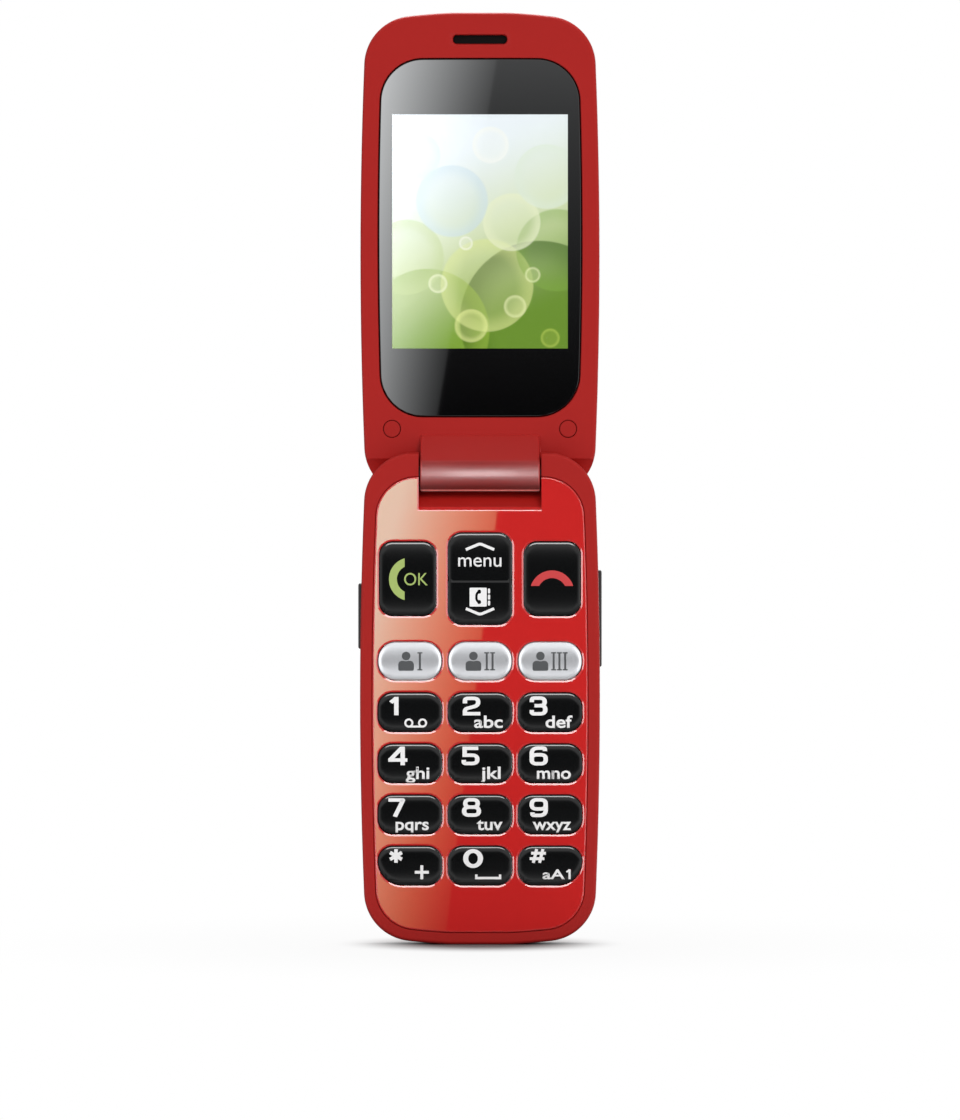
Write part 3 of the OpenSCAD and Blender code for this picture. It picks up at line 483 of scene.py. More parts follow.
def keyTable():
    table = {}
    for names in keyRows:
        for c, name in enumerate(names):
            h = keys["memoryHeight"] if isSilver(name) else keys["height"]
            radii = [keys["memoryRadius"] if isSilver(name) else keys["radius"]] * 4
            if name in ("key_hash", "key_star"):  # these follow the panel's corner
                radii[0 if name == "key_hash" else 3] = keys["cornerRadius"]
            table[name] = ((c - 1) * keys["colPitch"], rowOf[name], keys["width"], h, radii)
    tall = (keys["tallZ"], keys["callWidth"], keys["callHeight"], keys["callRadius"])
    table["call_key"] = (-keys["callX"],) + tall
    table["end_key"] = (keys["callX"],) + tall
    table["menu_rocker"] = (0.0, keys["tallZ"], keys["width"], keys["menuHeight"], keys["menuRadius"])
    for name, (x, z, w, h, radii) in table.items():  # the caps show a little smaller than the solids
        cut = keys["lower"] if name in rowOf else keys["lowerTall"]
        table[name] = (x, z - cut / 2, w - 2 * keys["slim"], h - cut, radii)
    return table


keyShapes = keyTable()


def makeFrontHousing():
    body = baseBlock("baseFrame")
    carve(body, bar("frontHalf", -far, far, -9, base["split"], -9, 120), how="INTERSECT")
    carve(body, filletHole("panelSeat", panelRing, 0.0, keypad["back"], 0.18, 0.1))
    carve(body, prism("inside", base["plateBack"], base["split"] + 1, insideRing()))
    rooms = []
    for name, (x, z, w, h, radii) in keyShapes.items():
        w, h = (w + 2, h - 1) if name == "menu_rocker" else (w, h)
        w, h = w / 2 + keyRoom["side"], h / 2 + keyRoom["end"]
        rooms.append(bar("room", x - w, x + w, keyRoom["front"], keyRoom["rear"], z - h, z + h))
    rooms = joinPieces(*rooms)
    carve(rooms, prism("roomLimit", -1, 3, panelRing(0.4)), how="INTERSECT")
    carve(body, rooms, pocketCutter(), *sideCutters())
    mic = circleRing(micHole["x"], micHole["depth"], micHole["radius"], 24)
    carve(body, alongZ("micHole", -1, base["wall"] + 3, mic))
    softEdges(body)
    return dress(body, redShell, "base", "red_plastic", "base_front_housing")


def makePanel():
    top, back = keypad["front"], keypad["back"]
    panel = loft("keypadPanel", frontEdge(panelRing, top, keypad["edge"], 10) + [(back, panelRing(0))])
    carve(panel, pocketCutter())
    for x, z, w, h, radii in keyShapes.values():
        wide, hole = [padRing(x, z, w, h, radii, -keypad["gap"] - i) for i in (keypad["lip"], 0.0)]
        rings = [(top - 1, wide), (top, wide), (top + keypad["lipDeep"], hole), (back + 1, hole)]
        carve(panel, loft("keyHole", rings))
    x, z = hinge["barrelWidth"] / 2 + hinge["slack"], keypad["notch"]
    wide, hole = [((-x - i, z - i), (x, z - i), (x, 120), (-x - i, 120)) for i in (keypad["notchLip"], 0.0)]
    carve(panel, loft("notchLip", [(top - 1, wide), (top, wide), (top + keypad["lipDeep"], hole)]))
    softEdges(panel, 0.1, 4, sharp=12, limit=50)
    return dress(panel, redPanel, "base", "red_panel", "keypad_panel")


makeFrontHousing()
makePanel()
print("base front ready")

speaker = {"slots": 5, "pitch": 2.0, "low": 72.3, "wide": 12.0, "tall": 0.9, "front": 8.5}
grooves = {"slots": 5, "pitch": 1.8, "low": 57.0, "wide": 16.0, "tall": 0.9, "deep": 0.35}
bay = {"half": 17.7, "low": 12.3, "high": 60.7, "front": 5.85, "wall": 1.1, "floor": 0.6}
screws = {"x": 17.0, "z": (7.6, 65.75), "radius": 1.7, "deep": 0.3}


def slotRowTree():  # a row of round-ended bars, used to carve slots and grip grooves
    g, give, out = makeGroup("slotRow", "GeometryNodeTree",
                             (("Count", "Int", 5), ("Pitch", "Float", 0.002), ("Wide", "Float", 0.012),
                              ("Tall", "Float", 0.0009), ("Deep", "Float", 0.003),
                              ("Start", "Vector", (0, 0, 0))),
                             (("Geometry", "Geometry"),))
    step = nodeIn(g, "ShaderNodeCombineXYZ", {"Z": give["Pitch"]}).outputs[0]
    line = nodeIn(g, "GeometryNodeMeshLine",
                  {"Count": give["Count"], "Start Location": give["Start"], "Offset": step})
    quad = nodeIn(g, "GeometryNodeCurvePrimitiveQuadrilateral", {"Width": give["Wide"], "Height": give["Tall"]})
    half = mathIn(g, "MULTIPLY", give["Tall"], 0.498)
    ends = nodeIn(g, "GeometryNodeFilletCurve", {"Curve": quad.outputs[0], "Count": 8, "Radius": half},
                  mode="POLY")
    fill = nodeIn(g, "GeometryNodeFillCurve", {"Curve": ends.outputs[0]}, mode="NGONS").outputs[0]
    push = nodeIn(g, "GeometryNodeExtrudeMesh",
                  {"Mesh": fill, "Individual": False, "Offset Scale": give["Deep"]})
    flip = nodeIn(g, "GeometryNodeFlipFaces", {"Mesh": fill})
    both = nodeIn(g, "GeometryNodeJoinGeometry", {0: flip.outputs[0]})
    feed(g, both, {0: push.outputs["Mesh"]})
    weld = nodeIn(g, "GeometryNodeMergeByDistance", {0: both.outputs[0], "Distance": 1e-7})
    lift = nodeIn(g, "GeometryNodeTransform", {0: weld.outputs[0], "Rotation": (math.radians(-90), 0, 0)})
    put = nodeIn(g, "GeometryNodeInstanceOnPoints", {"Points": line.outputs[0], "Instance": lift.outputs[0]})
    real = nodeIn(g, "GeometryNodeRealizeInstances", {0: put.outputs[0]})
    feed(g, out, {0: real.outputs[0]})
    return g


slotRow = slotRowTree()


def slotCutter(row, front, deep):
    obj = addObject("slots", bpy.data.meshes.new("slots"))
    m = obj.modifiers.new("grow", "NODES")
    m.node_group = slotRow
    values = {"Count": row["slots"], "Deep": deep * mm,
              "Start": (0, (faceY + front) * mm, (row["low"] + row["tall"] / 2) * mm)}
    values.update({label: row[label.lower()] * mm for label in ("Pitch", "Wide", "Tall")})
    for s in slotRow.interface.items_tree:
        if s.name in values:
            m[s.identifier] = values[s.name]
    return settle(obj)


def makeRearHousing():
    x, low, high, wall = bay["half"], bay["low"], bay["high"], bay["wall"]
    recess = base["recess"]
    body = baseBlock("baseBack")
    carve(body, bar("rearHalf", -far, far, base["split"], 30, -9, 120), how="INTERSECT")
    carve(body, prism("inside", base["split"] - 1, base["inside"], insideRing()))
    carve(body, bar("bayBlock", -x - wall, x + wall, bay["front"] - bay["floor"], base["inside"] + 0.4,
                    low - wall, high + wall), how="UNION")
    carve(body, filletHole("coverSeat", coverRing, base["thick"], recess, 0.15, 0.1, 5))
    carve(body, bar("bay", -x, x, bay["front"], 13, low, high))
    for x in (-screws["x"], screws["x"]):
        for z in screws["z"]:
            carve(body, rodY("headHole", x, z, recess - 1, recess + screws["deep"], screws["radius"]))
    carve(body, slotCutter(speaker, speaker["front"], 5), pocketCutter(), *sideCutters())
    softEdges(body)
    return dress(body, redShell, "base", "red_plastic", "base_rear_housing")


def makeBatteryCover():
    e, t, soft = cover["edge"], base["thick"], cover["soft"]
    rings = [(cover["front"], coverRing(soft)), (cover["front"] + soft, coverRing(0))]
    body = loft("batteryCover", rings + rearEdge(coverRing, t, e, e, 6))
    carve(body, slotCutter(grooves, t - grooves["deep"], 2))
    softEdges(body, soft)
    return dress(body, redShell, "battery_cover", "red_plastic", "battery_cover")


makeRearHousing()
makeBatteryCover()
print("base back ready")

earSlot = {"wide": 11.2, "tall": 1.8, "z": 188.9, "radius": 0.75, "lip": 0.26, "deep": 0.5,
           "polishX": (6.2, 6.4), "polishZ": (1.3, 1.4)}
plugs = {"x": 18.4, "z": 107.5, "radius": 1.72, "hole": 1.86, "deep": 1.75, "edge": 0.1,
         "sunk": 0.03, "thick": 0.87}
lidRooms = {"front": (47, 112.5, 193, 8.9, 300, 126.5), "cover": (44, 104, 191.5, 7.4, 300, 125),
            "screenGap": 0.8}
knuckle = {"start": -3.3, "steps": 220, "seamAt": -111.5, "seamHalf": 2.6, "seamHigh": 0.13, "bevel": 0.4,
           # the barrel's underside gets painted shade, placed and weighted by the last two entries of this line
           "rim": 3.0, "polished": (2.0, 12.5), "dull": 0.12, "paintedShadeZ": (95.0, 96.6), "paintedShade": 0.55,
           # the parting line gets a painted highlight, placed by the next two entries
           "seamZ": 94.64, "seamHighlightFade": (0.12, 0.18),
           "bores": (("canBore", -4.0, 20, 2.52, 64), ("bushBore", -20, -6.5, 1.66, 48),
                     ("rollBore", -20, -4.4, 1.05, 32))}
picture = {"width": 36.7, "height": 48.93, "low": 124.3, "discs": (  # place, radius, colour and weight
    (0.34, 0.16, 0.46, (52, 92, 24), 0.75), (-0.30, 0.10, 0.36, (150, 182, 66), 0.6),
    (0.04, 0.36, 0.27, (222, 232, 150), 0.55), (0.44, 0.56, 0.24, (132, 172, 70), 0.5),
    (-0.42, 0.52, 0.22, (196, 214, 148), 0.55), (0.18, 0.72, 0.17, (236, 242, 204), 0.65),
    (-0.16, 0.84, 0.21, (206, 226, 236), 0.55), (0.38, 0.98, 0.19, (226, 238, 220), 0.65),
    (-0.36, 1.10, 0.14, (222, 236, 244), 0.6), (0.06, 1.16, 0.11, (250, 252, 246), 0.7),
    (-0.05, 0.13, 0.10, (236, 242, 160), 0.55), (0.20, 0.24, 0.07, (244, 248, 190), 0.5),
    (-0.24, 0.37, 0.06, (246, 250, 214), 0.6), (0.30, 0.42, 0.05, (240, 246, 190), 0.55),
    (-0.08, 0.60, 0.045, (252, 253, 240), 0.6), (0.40, 0.06, 0.06, (196, 216, 96), 0.45))}


def fade(tree, v, span, start, end):  # a ramp between two places given in millimetres
    return rampIn(tree, v, span[0] * mm, span[1] * mm, start, end)


def barrelWearAndPaintedLight():  # the barrel is polished in the middle and duller toward its ends, and its colour carries painted shade below and a painted highlight on the parting line
    t = redBarrel.node_tree
    p, at = t.nodes["Principled BSDF"], spotIn(t)
    gloss, tone = [p.inputs[label].links[0].from_socket for label in ("Roughness", "Base Color")]
    dull = fade(t, mathIn(t, "ABSOLUTE", at["X"]), knuckle["polished"], 0.0, knuckle["dull"])
    paintedShade = fade(t, at["Z"], knuckle["paintedShadeZ"], knuckle["paintedShade"], 0.0)  # painted shade: the colour is darker on the barrel's underside
    tone = mixIn(t, paintedShade, tone, srgb(70, 24, 18))
    seam = mathIn(t, "ABSOLUTE", mathIn(t, "SUBTRACT", at["Z"], knuckle["seamZ"] * mm))
    paintedSeamHighlight = fade(t, seam, knuckle["seamHighlightFade"], 0.9, 0.0)  # painted highlight: a light line of colour along the parting line
    tone = mixIn(t, paintedSeamHighlight, tone, srgb(222, 128, 120))
    feed(t, p, {"Roughness": mathIn(t, "ADD", gloss, dull), "Base Color": tone})


def polishedSlot():  # the lip of the earpiece slot is left glossy by the cutter
    t = redLid.node_tree
    at = spotIn(t)
    along = fade(t, mathIn(t, "ABSOLUTE", at["X"]), earSlot["polishX"], 1.0, 0.0)
    across = mathIn(t, "ABSOLUTE", mathIn(t, "SUBTRACT", at["Z"], earSlot["z"] * mm))
    mask = mathIn(t, "MULTIPLY", along, fade(t, across, earSlot["polishZ"], 1.0, 0.0))
    feed(t, t.nodes["Principled BSDF"], {"Coat Weight": mask})


def lidBlock(name):
    block = loft(name, shellRings(lidRing, lid["face"], lid["thick"], lid["coverIn"], lid["coverUp"]))
    carve(block, rodX("hingeRoom", -far, far, hinge["inset"] + hinge["slack"] - 0.05, 128))
    return carve(block, bar("lidEnd", -far, far, -9, far, 0, hinge["z"] - lid["end"]))


def makeLidFrame():
    f, low, gap, lip = lid["face"], picture["low"], lidRooms["screenGap"], earSlot["lip"]
    body = lidBlock("lidFrame")
    carve(body, bar("lidFront", -far, far, -9, f + lid["split"], 0, 220), how="INTERSECT")
    carve(body, filletHole("lensSeat", lensRing, f, f + 1.0, 0.16, 0.12))
    x = picture["width"] / 2 + gap
    carve(body, bar("screenHole", -x, x, f, f + 3, low - gap, low + picture["height"] + gap))
    carve(body, prism("lidInside", f + 1.7, f + 7, barrelRing(*lidRooms["front"])))
    wide, mouth, slot = [padRing(0, earSlot["z"], earSlot["wide"], earSlot["tall"], earSlot["radius"], i)
                         for i in (-lip, -0.05, 0.0)]
    rings = [(f - 1, wide), (f, wide), (f + lip, mouth), (f + earSlot["deep"], slot), (f + 4, slot)]
    carve(body, loft("earSlot", rings))
    for x in (-plugs["x"], plugs["x"]):
        carve(body, filletHole("plugHole", lambda i: circleRing(x, plugs["z"], plugs["hole"] - i), f,
                               f + plugs["deep"], plugs["edge"]))
    softEdges(body)
    return dress(body, redLid, "lid", "red_plastic", "lid_inner_housing")


def makeKnuckle():
    along, out = bridgeLine()
    r, x = hinge["barrel"], hinge["barrelWidth"] / 2
    touch = (axis[0] - r * out[0], axis[1] - r * out[1])
    back, root = lid["face"] + lid["split"] - 0.4, hinge["z"] + hinge["reach"]
    first, last, profile = math.radians(knuckle["start"]), angleOf(touch, axis) - 2 * math.pi, []
    for k in range(knuckle["steps"] + 1):  # with the fine raised parting line of the mould
        a = first + (last - first) * k / knuckle["steps"]
        off = (math.degrees(a) - knuckle["seamAt"]) / knuckle["seamHalf"]
        high = r + knuckle["seamHigh"] * max(0.0, 1 - off ** 2)
        profile.append((axis[0] + high * math.cos(a), axis[1] + high * math.sin(a)))
    profile += [(lid["face"] - 0.02, root + 0.3), (back, root), (back, hinge["z"] - lid["end"])]
    body = alongX("hingeKnuckle", -x, x, profile)
    carve(body, *[rodX(*bore) for bore in knuckle["bores"]])
    middle, rim = Vector((0, (faceY + axis[0]) * mm, axis[1] * mm)), knuckle["rim"] * mm
    bm = bmesh.new()
    bm.from_mesh(body.data)
    ends = {v for v in bm.verts if abs(abs(v.co.x) - x * mm) < 1e-6 and (v.co - middle).yz.length > rim}
    rims = [e for e in bm.edges if ends.issuperset(e.verts)]  # rounded only after the bores are cut
    bmesh.ops.bevel(bm, geom=rims, offset=knuckle["bevel"] * mm, segments=4, profile=0.5, affect="EDGES")
    bm.to_mesh(body.data)
    bm.free()
    softEdges(body, 0.0, sharp=50)
    dress(body, redBarrel, "lid", "red_plastic")
    body.data.materials.append(redLid)
    for face in body.data.polygons:  # the flat bridge has the lid's own finish
        face.material_index = int(face.center.z > (touch[1] + 0.3) * mm)
    return body


def makeLidCover():
    f = lid["face"]
    body = lidBlock("lidCover")
    carve(body, bar("lidRear", -far, far, f + lid["split"], far, 0, 220), how="INTERSECT")
    carve(body, prism("coverInside", f, f + 5.0, barrelRing(*lidRooms["cover"])))
    softEdges(body)
    return dress(body, redShell, "lid", "red_plastic", "lid_outer_cover")


def makePlugs():
    pair, f, r = [], lid["face"] + plugs["sunk"], plugs["radius"]
    for x in (-plugs["x"], plugs["x"]):
        rings = frontEdge(lambda i: circleRing(x, plugs["z"], r - i), f, plugs["edge"], 4)
        pair.append(loft("screwPlugs", rings + [(f + plugs["thick"], circleRing(x, plugs["z"], r))]))
    body = softEdges(joinPieces(*pair), 0.0)
    return dress(body, redShell, "lid", "red_plastic", "lid_screw_plugs")


barrelWearAndPaintedLight()
polishedSlot()
makeLidFrame()
makeKnuckle()
makeLidCover()
makePlugs()
print("lid ready")


# window, mask and picture
def pictureFinish():  # overlapping soft discs of light, pale at the upper left and green at the lower right
    mat, t = newFinish("pictureGlow")
    add, sub, mul, mulAdd = reckoners(t)
    at, wide = spotIn(t), picture["width"] * mm
    x = mathIn(t, "DIVIDE", at["X"], wide)
    z = mathIn(t, "DIVIDE", sub(at["Z"], picture["low"] * mm), wide)
    slope = mulAdd(x, -0.45, z)
    tone = mixIn(t, rampIn(t, slope, 0.05, 0.75), srgb(122, 160, 56), srgb(214, 226, 176))
    tone = mixIn(t, rampIn(t, slope, 0.45, 1.25), tone, srgb(240, 247, 251))
    for cx, cz, r, colour, weight in picture["discs"]:
        dx, dz = sub(x, cx), sub(z, cz)
        away = mathIn(t, "SQRT", add(mul(dx, dx), mul(dz, dz)))
        inside = rampIn(t, away, r - 0.012, r, weight, 0.0)
        rim = mul(rampIn(t, away, r * 0.55, r - 0.012, 0.35, 1.0), inside)
        tone = mixIn(t, rim, tone, srgb(*colour))
    mat.diffuse_color = srgb(200, 214, 170)
    feed(t, t.nodes["Principled BSDF"], {
        "Emission Color": tone, "Emission Strength": 0.98, "Roughness": 0.6, "Specular IOR Level": 0.0,
        "Base Color": mixIn(t, 0.9, tone, (0.0, 0.0, 0.0, 1.0))})
    return mat


def makeWindow():
    f, e, back = lid["face"], window["edge"], lid["face"] + window["thick"]
    rings = [(f, lensRing(e)), (f + 0.03, lensRing(e - 0.08)), (f + 0.23, lensRing(0.07)),
             (f + 0.33, lensRing(0.0)), (back, lensRing(0))]
    x, low, high, slit = picture["width"] / 2, picture["low"], picture["low"] + picture["height"], 0.004
    glass = carve(loft("windowGlass", rings), bar("paneHole", -x, x, f - 1, f + 2, low, high))
    joinPieces(glass, bar("pane", slit - x, x - slit, f, back, low + slit, high - slit))
    softEdges(glass, 0.0, sharp=18)
    dress(glass, printedGlass, "lid", "window", "display_lens")
    glass.data.materials.append(clearGlass)
    x1, z0, z1 = (x - slit / 2) * mm, (low + slit / 2) * mm, (high - slit / 2) * mm
    for face in glass.data.polygons:  # clear over the picture, printed black from behind elsewhere
        spots = [glass.data.vertices[i].co for i in face.vertices]
        clear = all(abs(v.x) < x1 and z0 < v.z < z1 for v in spots)
        face.material_index = int(clear and abs(face.normal.y) > 0.9)
    mask = prism("windowMask", back + 0.005, back + 0.035, lensRing(0.05))
    carve(mask, bar("maskHole", -x, x, f, f + 2, low, high))
    dress(mask, maskBlack, "lid", "window")
    show = bar("screenPicture", -x - 0.5, x + 0.5, back + 0.07, back + 0.11, low - 0.5, high + 0.5)
    dress(show, pictureFinish(), "lid", "screen")


makeWindow()
print("window ready")

# keys
under = {"flange": (0.6, 1.1), "flangeIn": 1.2, "flangeOut": 0.6, "plunger": (0.7, 1.5), "plungerRadius": 1.2,
         "axle": (0.65, 1.25), "axleOut": 0.9, "axleHalf": 0.5}
rib = {"z": 76.4, "in": 0.45, "high": 0.085, "sunk": 0.03, "deep": 0.3, "low": 75.35}


def keyLoft(name, shape, top):
    x, z, w, h, radii = shape

    def crown(pz):  # the top falls toward its upper and lower ends, on silver keys from the middle
        t = abs(pz - z) / (h / 2)
        return keys["silverCrown"] * t * t if isSilver(name) else keys["crown"] * t ** 3 * min(1.0, h / 14)

    def sideRing(inset):  # points along the straight sides too, so that the crown is round
        ring, full = padRing(x, z, w, h, radii, inset), []
        for i, p in enumerate(ring):
            full.append(p)
            if i % 13 == 12:
                q = ring[(i + 1) % len(ring)]
                full += [(p[0] + (q[0] - p[0]) * t / 16, p[1] + (q[1] - p[1]) * t / 16) for t in range(1, 16)]
        return full

    def topRing(ring, fall=0.0):
        return [(px, faceY + (top + fall + crown(pz)), pz) for px, pz in ring]

    rings = [[(px, faceY + keys["foot"], pz) for px, pz in sideRing(0.0)]]
    rings += [topRing(sideRing(keys["edge"] * (1 - c)), keys["drop"] * (1 - s)) for c, s in quarterTurn(8)]
    for k in range(1, 9):
        s = 1 - k / 8.6
        rings.append(topRing([(x + (px - x) * s, z + (pz - z) * s) for px, pz in sideRing(keys["edge"])]))
    return stack(name, rings)


def menuFoot(z, w, top):  # the axle that the rocker tilts on, and the raised rib across its cap
    foot = bar("axle", -w / 2 - under["axleOut"], w / 2 + under["axleOut"], *under["axle"],
               z - under["axleHalf"], z + under["axleHalf"])
    profile = [(top + rib["sunk"] - rib["high"] * (k / 8) ** 2, rib["z"] - k / 8) for k in range(9)]
    profile += [(top + rib["deep"], rib["low"]), (top + rib["deep"], rib["z"])]
    return joinPieces(foot, alongX("rib", rib["in"] - w / 2, w / 2 - rib["in"], profile))


def makeKeys():
    made, inner, outer = {}, under["flangeIn"], under["flangeOut"]
    for name, shape in keyShapes.items():
        x, z, w, h, radii = shape
        menu = name == "menu_rocker"
        top = keys["menuTop"] if menu else keys["top"]
        key = keyLoft(name + "_cap", shape, top)
        if menu:
            foot = menuFoot(z, w, top)
        else:
            foot = bar("flange", x - w / 2 + inner, x + w / 2 - inner, *under["flange"],
                       z - h / 2 - outer, z + h / 2 + outer)
        joinPieces(key, foot, rodY("plunger", x, z, *under["plunger"], under["plungerRadius"], 24))
        softEdges(key, 0.0, sharp=55)
        silver = isSilver(name)
        dress(key, keySilver if silver else keyBlack, name, "silver_key" if silver else "black_key", name)
        made[name] = key
    return made


def makeSideKeys():
    front, rear, root, more = [sideKeys[k] for k in ("front", "rear", "root", "flange")]
    for name, (sign, z, length) in sideKeys["caps"].items():
        x0, x1 = sorted((sign * root, sign * sideKeys["tip"]))
        key = bar(name + "_cap", x0, x1, front, rear, z - length / 2, z + length / 2)
        softEdges(key, 0.45, 5, sharp=60)
        x0, x1 = sorted((sign * (root - 0.05), sign * (root + 0.45)))  # its flange closes the slot from inside
        joinPieces(key, bar("flange", x0, x1, front - 0.6, rear + 0.6,
                            z - length / 2 - more, z + length / 2 + more))
        dress(key, sideGrey, name, "side_key", name)


capPieces = makeKeys()
makeSideKeys()
print("keys ready")


# legends
def flatText(body, bold=0.0):
    curve = bpy.data.curves.new("legend", "FONT")
    curve.body, curve.size, curve.offset, curve.resolution_u = body, 1.0, bold, 6
    obj = addObject("legend", curve)
    bpy.context.view_layer.update()
    mesh = bpy.data.meshes.new_from_object(obj)
    bm = bmesh.new()
    bm.from_mesh(mesh)
    bpy.data.objects.remove(obj)
    bpy.data.curves.remove(curve)
    bpy.data.meshes.remove(mesh)
    return bm


def reach(bm, k):
    values = [v.co[k] for v in bm.verts]
    return min(values), max(values)


def word(body, left, right, low, high, ref="x", bold=0.0):
    # fits the word between left and right, with the reference letter's height from low to high
    ruler = flatText(ref, bold)
    r0, r1 = reach(ruler, 1)
    ruler.free()
    bm = flatText(body, bold)
    x0, x1 = reach(bm, 0)
    for v in bm.verts:
        v.co.x = left + (v.co.x - x0) * (right - left) / (x1 - x0)
        v.co.y = low + (v.co.y - r0) * (high - low) / (r1 - r0)
    return bm


def flatShape(ring):
    bm = bmesh.new()
    bm.faces.new([bm.verts.new((x, z, 0)) for x, z in ring])
    bm.normal_update()
    bmesh.ops.triangulate(bm, faces=bm.faces[:], ngon_method="EAR_CLIP")
    return bm


def plate(left, right=None):  # flat outline, or the band between two lines, one millimetre thick
    if right is None:
        return stack("plate", [[(x, z, h) for x, z in left] for h in (0, 1)])
    n = len(left)
    verts = [(x, z, h) for h in (0, 1) for line in (left, right) for x, z in line]
    faces = []
    for i in range(n - 1):
        j = i + 1
        faces += [(i, j, n + j, n + i), (2 * n + i, 2 * n + j, 3 * n + j, 3 * n + i),
                  (i, j, 2 * n + j, 2 * n + i), (n + i, n + j, 3 * n + j, 3 * n + i)]
    if math.dist(left[0], left[-1]) > 1e-6:
        faces += [(i, n + i, 3 * n + i, 2 * n + i) for i in (0, n - 1)]
    return makePiece("plate", verts, faces)


def unite(parts, holes=()):  # overlapping plates become one flat shape
    whole = carve(parts[0], *parts[1:], how="UNION")
    carve(whole, *holes)
    bm = bmesh.new()
    bm.from_mesh(whole.data)
    bpy.data.objects.remove(whole)
    bm.normal_update()
    bmesh.ops.delete(bm, geom=[f for f in bm.faces if f.normal.z < 0.9], context="FACES")
    for v in bm.verts:
        v.co = (v.co.x / mm, v.co.y / mm, 0)
    return bm


def bend(points, closed):  # each point may carry the radius of its corner
    path, n = [], len(points)
    for i, q in enumerate(points):
        c = Vector(q[:2])
        if len(q) < 3 or (not closed and i in (0, n - 1)):
            path.append(c)
            continue
        u, v = Vector(points[i - 1][:2]) - c, Vector(points[(i + 1) % n][:2]) - c
        cut = min(q[2], u.length * 0.499, v.length * 0.499)
        s, e = c + u.normalized() * cut, c + v.normalized() * cut
        path += [s * (1 - k / 10) ** 2 + c * 2 * (k / 10) * (1 - k / 10) + e * (k / 10) ** 2 for k in range(11)]
    clean = [path[0]]
    for q in path[1:]:
        if (q - clean[-1]).length > 1e-4:
            clean.append(q)
    if closed and (clean[0] - clean[-1]).length < 1e-4:
        clean.pop()
    return clean


def band(points, wide, closed=False, at=(0.0, 0.0), spread=1.0):
    # a stroke along the points; spread makes its upright parts wider than its level parts
    path = bend([(q[0] / spread,) + tuple(q[1:]) for q in points], closed)
    n, left, right = len(path), [], []
    for i, q in enumerate(path):
        before = (q - path[i - 1]).normalized() if closed or i else None
        after = (path[(i + 1) % n] - q).normalized() if closed or i < n - 1 else None
        before, after = before or after, after or before
        way = (before + after).normalized()
        side = Vector((-way.y, way.x))
        half = wide / 2 / max(0.4, side.dot(Vector((-before.y, before.x))))
        for line, sign in ((left, 1), (right, -1)):
            v = q + side * half * sign
            line.append((at[0] + v.x * spread, at[1] + v.y))
    if closed:
        left.append(left[0])
        right.append(right[0])
    return plate(left, right)


def clipRing(c, r0, r1, limit, side):
    # ring part cut off by a straight line: side "x" keeps x below limit, "z" keeps z above it
    if side == "x":
        b0, b1 = [math.acos((limit - c[0]) / r) for r in (r0, r1)]
        whole = 2 * math.pi
    else:
        b0, b1 = [math.asin((limit - c[1]) / r) for r in (r0, r1)]
        whole = math.pi
    return arc(c, r1, b1, whole - b1, 40) + arc(c, r0, whole - b0, b0, 40)


def ovalRing(x, z, rx, rz, n=64):
    return [(x + rx * c, z + rz * s) for c, s in arc((0, 0), 1, 0, 2 * math.pi, n)]


def loop(x0, z0, x1, z1, r):  # a closed stroke with four corners of one radius
    return True, ((x0, z0, r), (x1, z0, r), (x1, z1, r), (x0, z1, r))


legend = {"letterLow": -3.42, "letterHigh": -1.67, "bold": 0.02, "stroke": 0.72, "spread": 1.27,
          "hashStroke": 0.6, "hashSpread": 1.05, "stepX": 0.9, "stepZ": 0.35, "proud": 0.014, "sunk": 0.03}
digits = {  # lower left corner on the key, then strokes: closed or not, points with corner sizes
    "1": ((-4.07, -0.76), ((False, ((0.1, 2.62), (1.1, 3.44))), (False, ((1.25, 0), (1.25, 3.8))))),
    "2": ((-3.59, -0.81), ((False, ((0.46, 2.5), (0.46, 3.55, 1.0), (3.2, 3.55, 1.1), (3.2, 2.05, 0.7),
                                    (0.46, 1.35, 0.5), (0.46, 0.36), (3.66, 0.36))),)),
    "3": ((-4.25, -0.84), ((False, ((0.46, 2.8), (0.46, 3.64, 0.9), (3.12, 3.64, 0.9), (3.12, 2.06, 0.8),
                                    (1.0, 2.06))),
                           (False, ((1.0, 2.06), (3.24, 2.06, 0.8), (3.24, 0.36, 0.9), (0.44, 0.36, 0.9),
                                    (0.44, 1.15))))),
    "4": ((-4.56, -0.53), ((False, ((3.06, 0), (3.06, 3.88))), (False, ((0.06, 1.08), (4.03, 1.08))),
                           (False, ((0.36, 1.02), (2.86, 3.62))))),
    "5": ((-3.82, -0.53), ((False, ((3.45, 3.52), (0.62, 3.52), (0.62, 2.08), (3.26, 2.08, 0.9),
                                    (3.26, 0.36, 0.9), (0.44, 0.36, 0.9), (0.44, 1.1))),)),
    "6": ((-4.28, -0.59), (loop(0.46, 0.36, 3.36, 2.24, 0.85),
                           (False, ((3.2, 3.0), (3.2, 3.62, 0.7), (0.46, 3.62, 1.1), (0.46, 1.2))))),
    "7": ((-4.47, -0.6), ((False, ((0, 3.47), (3.05, 3.47, 0.1), (1.34, 0))),)),
    "8": ((-3.74, -0.63), (loop(0.44, 0.36, 3.5, 2.02, 0.85), loop(0.68, 2.02, 3.26, 3.55, 0.75))),
    "9": ((-4.28, -0.69), (loop(0.46, 1.7, 3.36, 3.6, 0.85),
                           (False, ((0.6, 0.98), (0.6, 0.36, 0.7), (3.36, 0.36, 1.1), (3.36, 2.8))))),
    "hash": ((-4.25, 0.45), ((False, ((0.75, 0), (1.45, 2.85))), (False, ((2.05, 0), (2.75, 2.85))),
                             (False, ((0.3, 2.0), (3.37, 2.0))), (False, ((0, 0.86), (3.05, 0.86)))))}
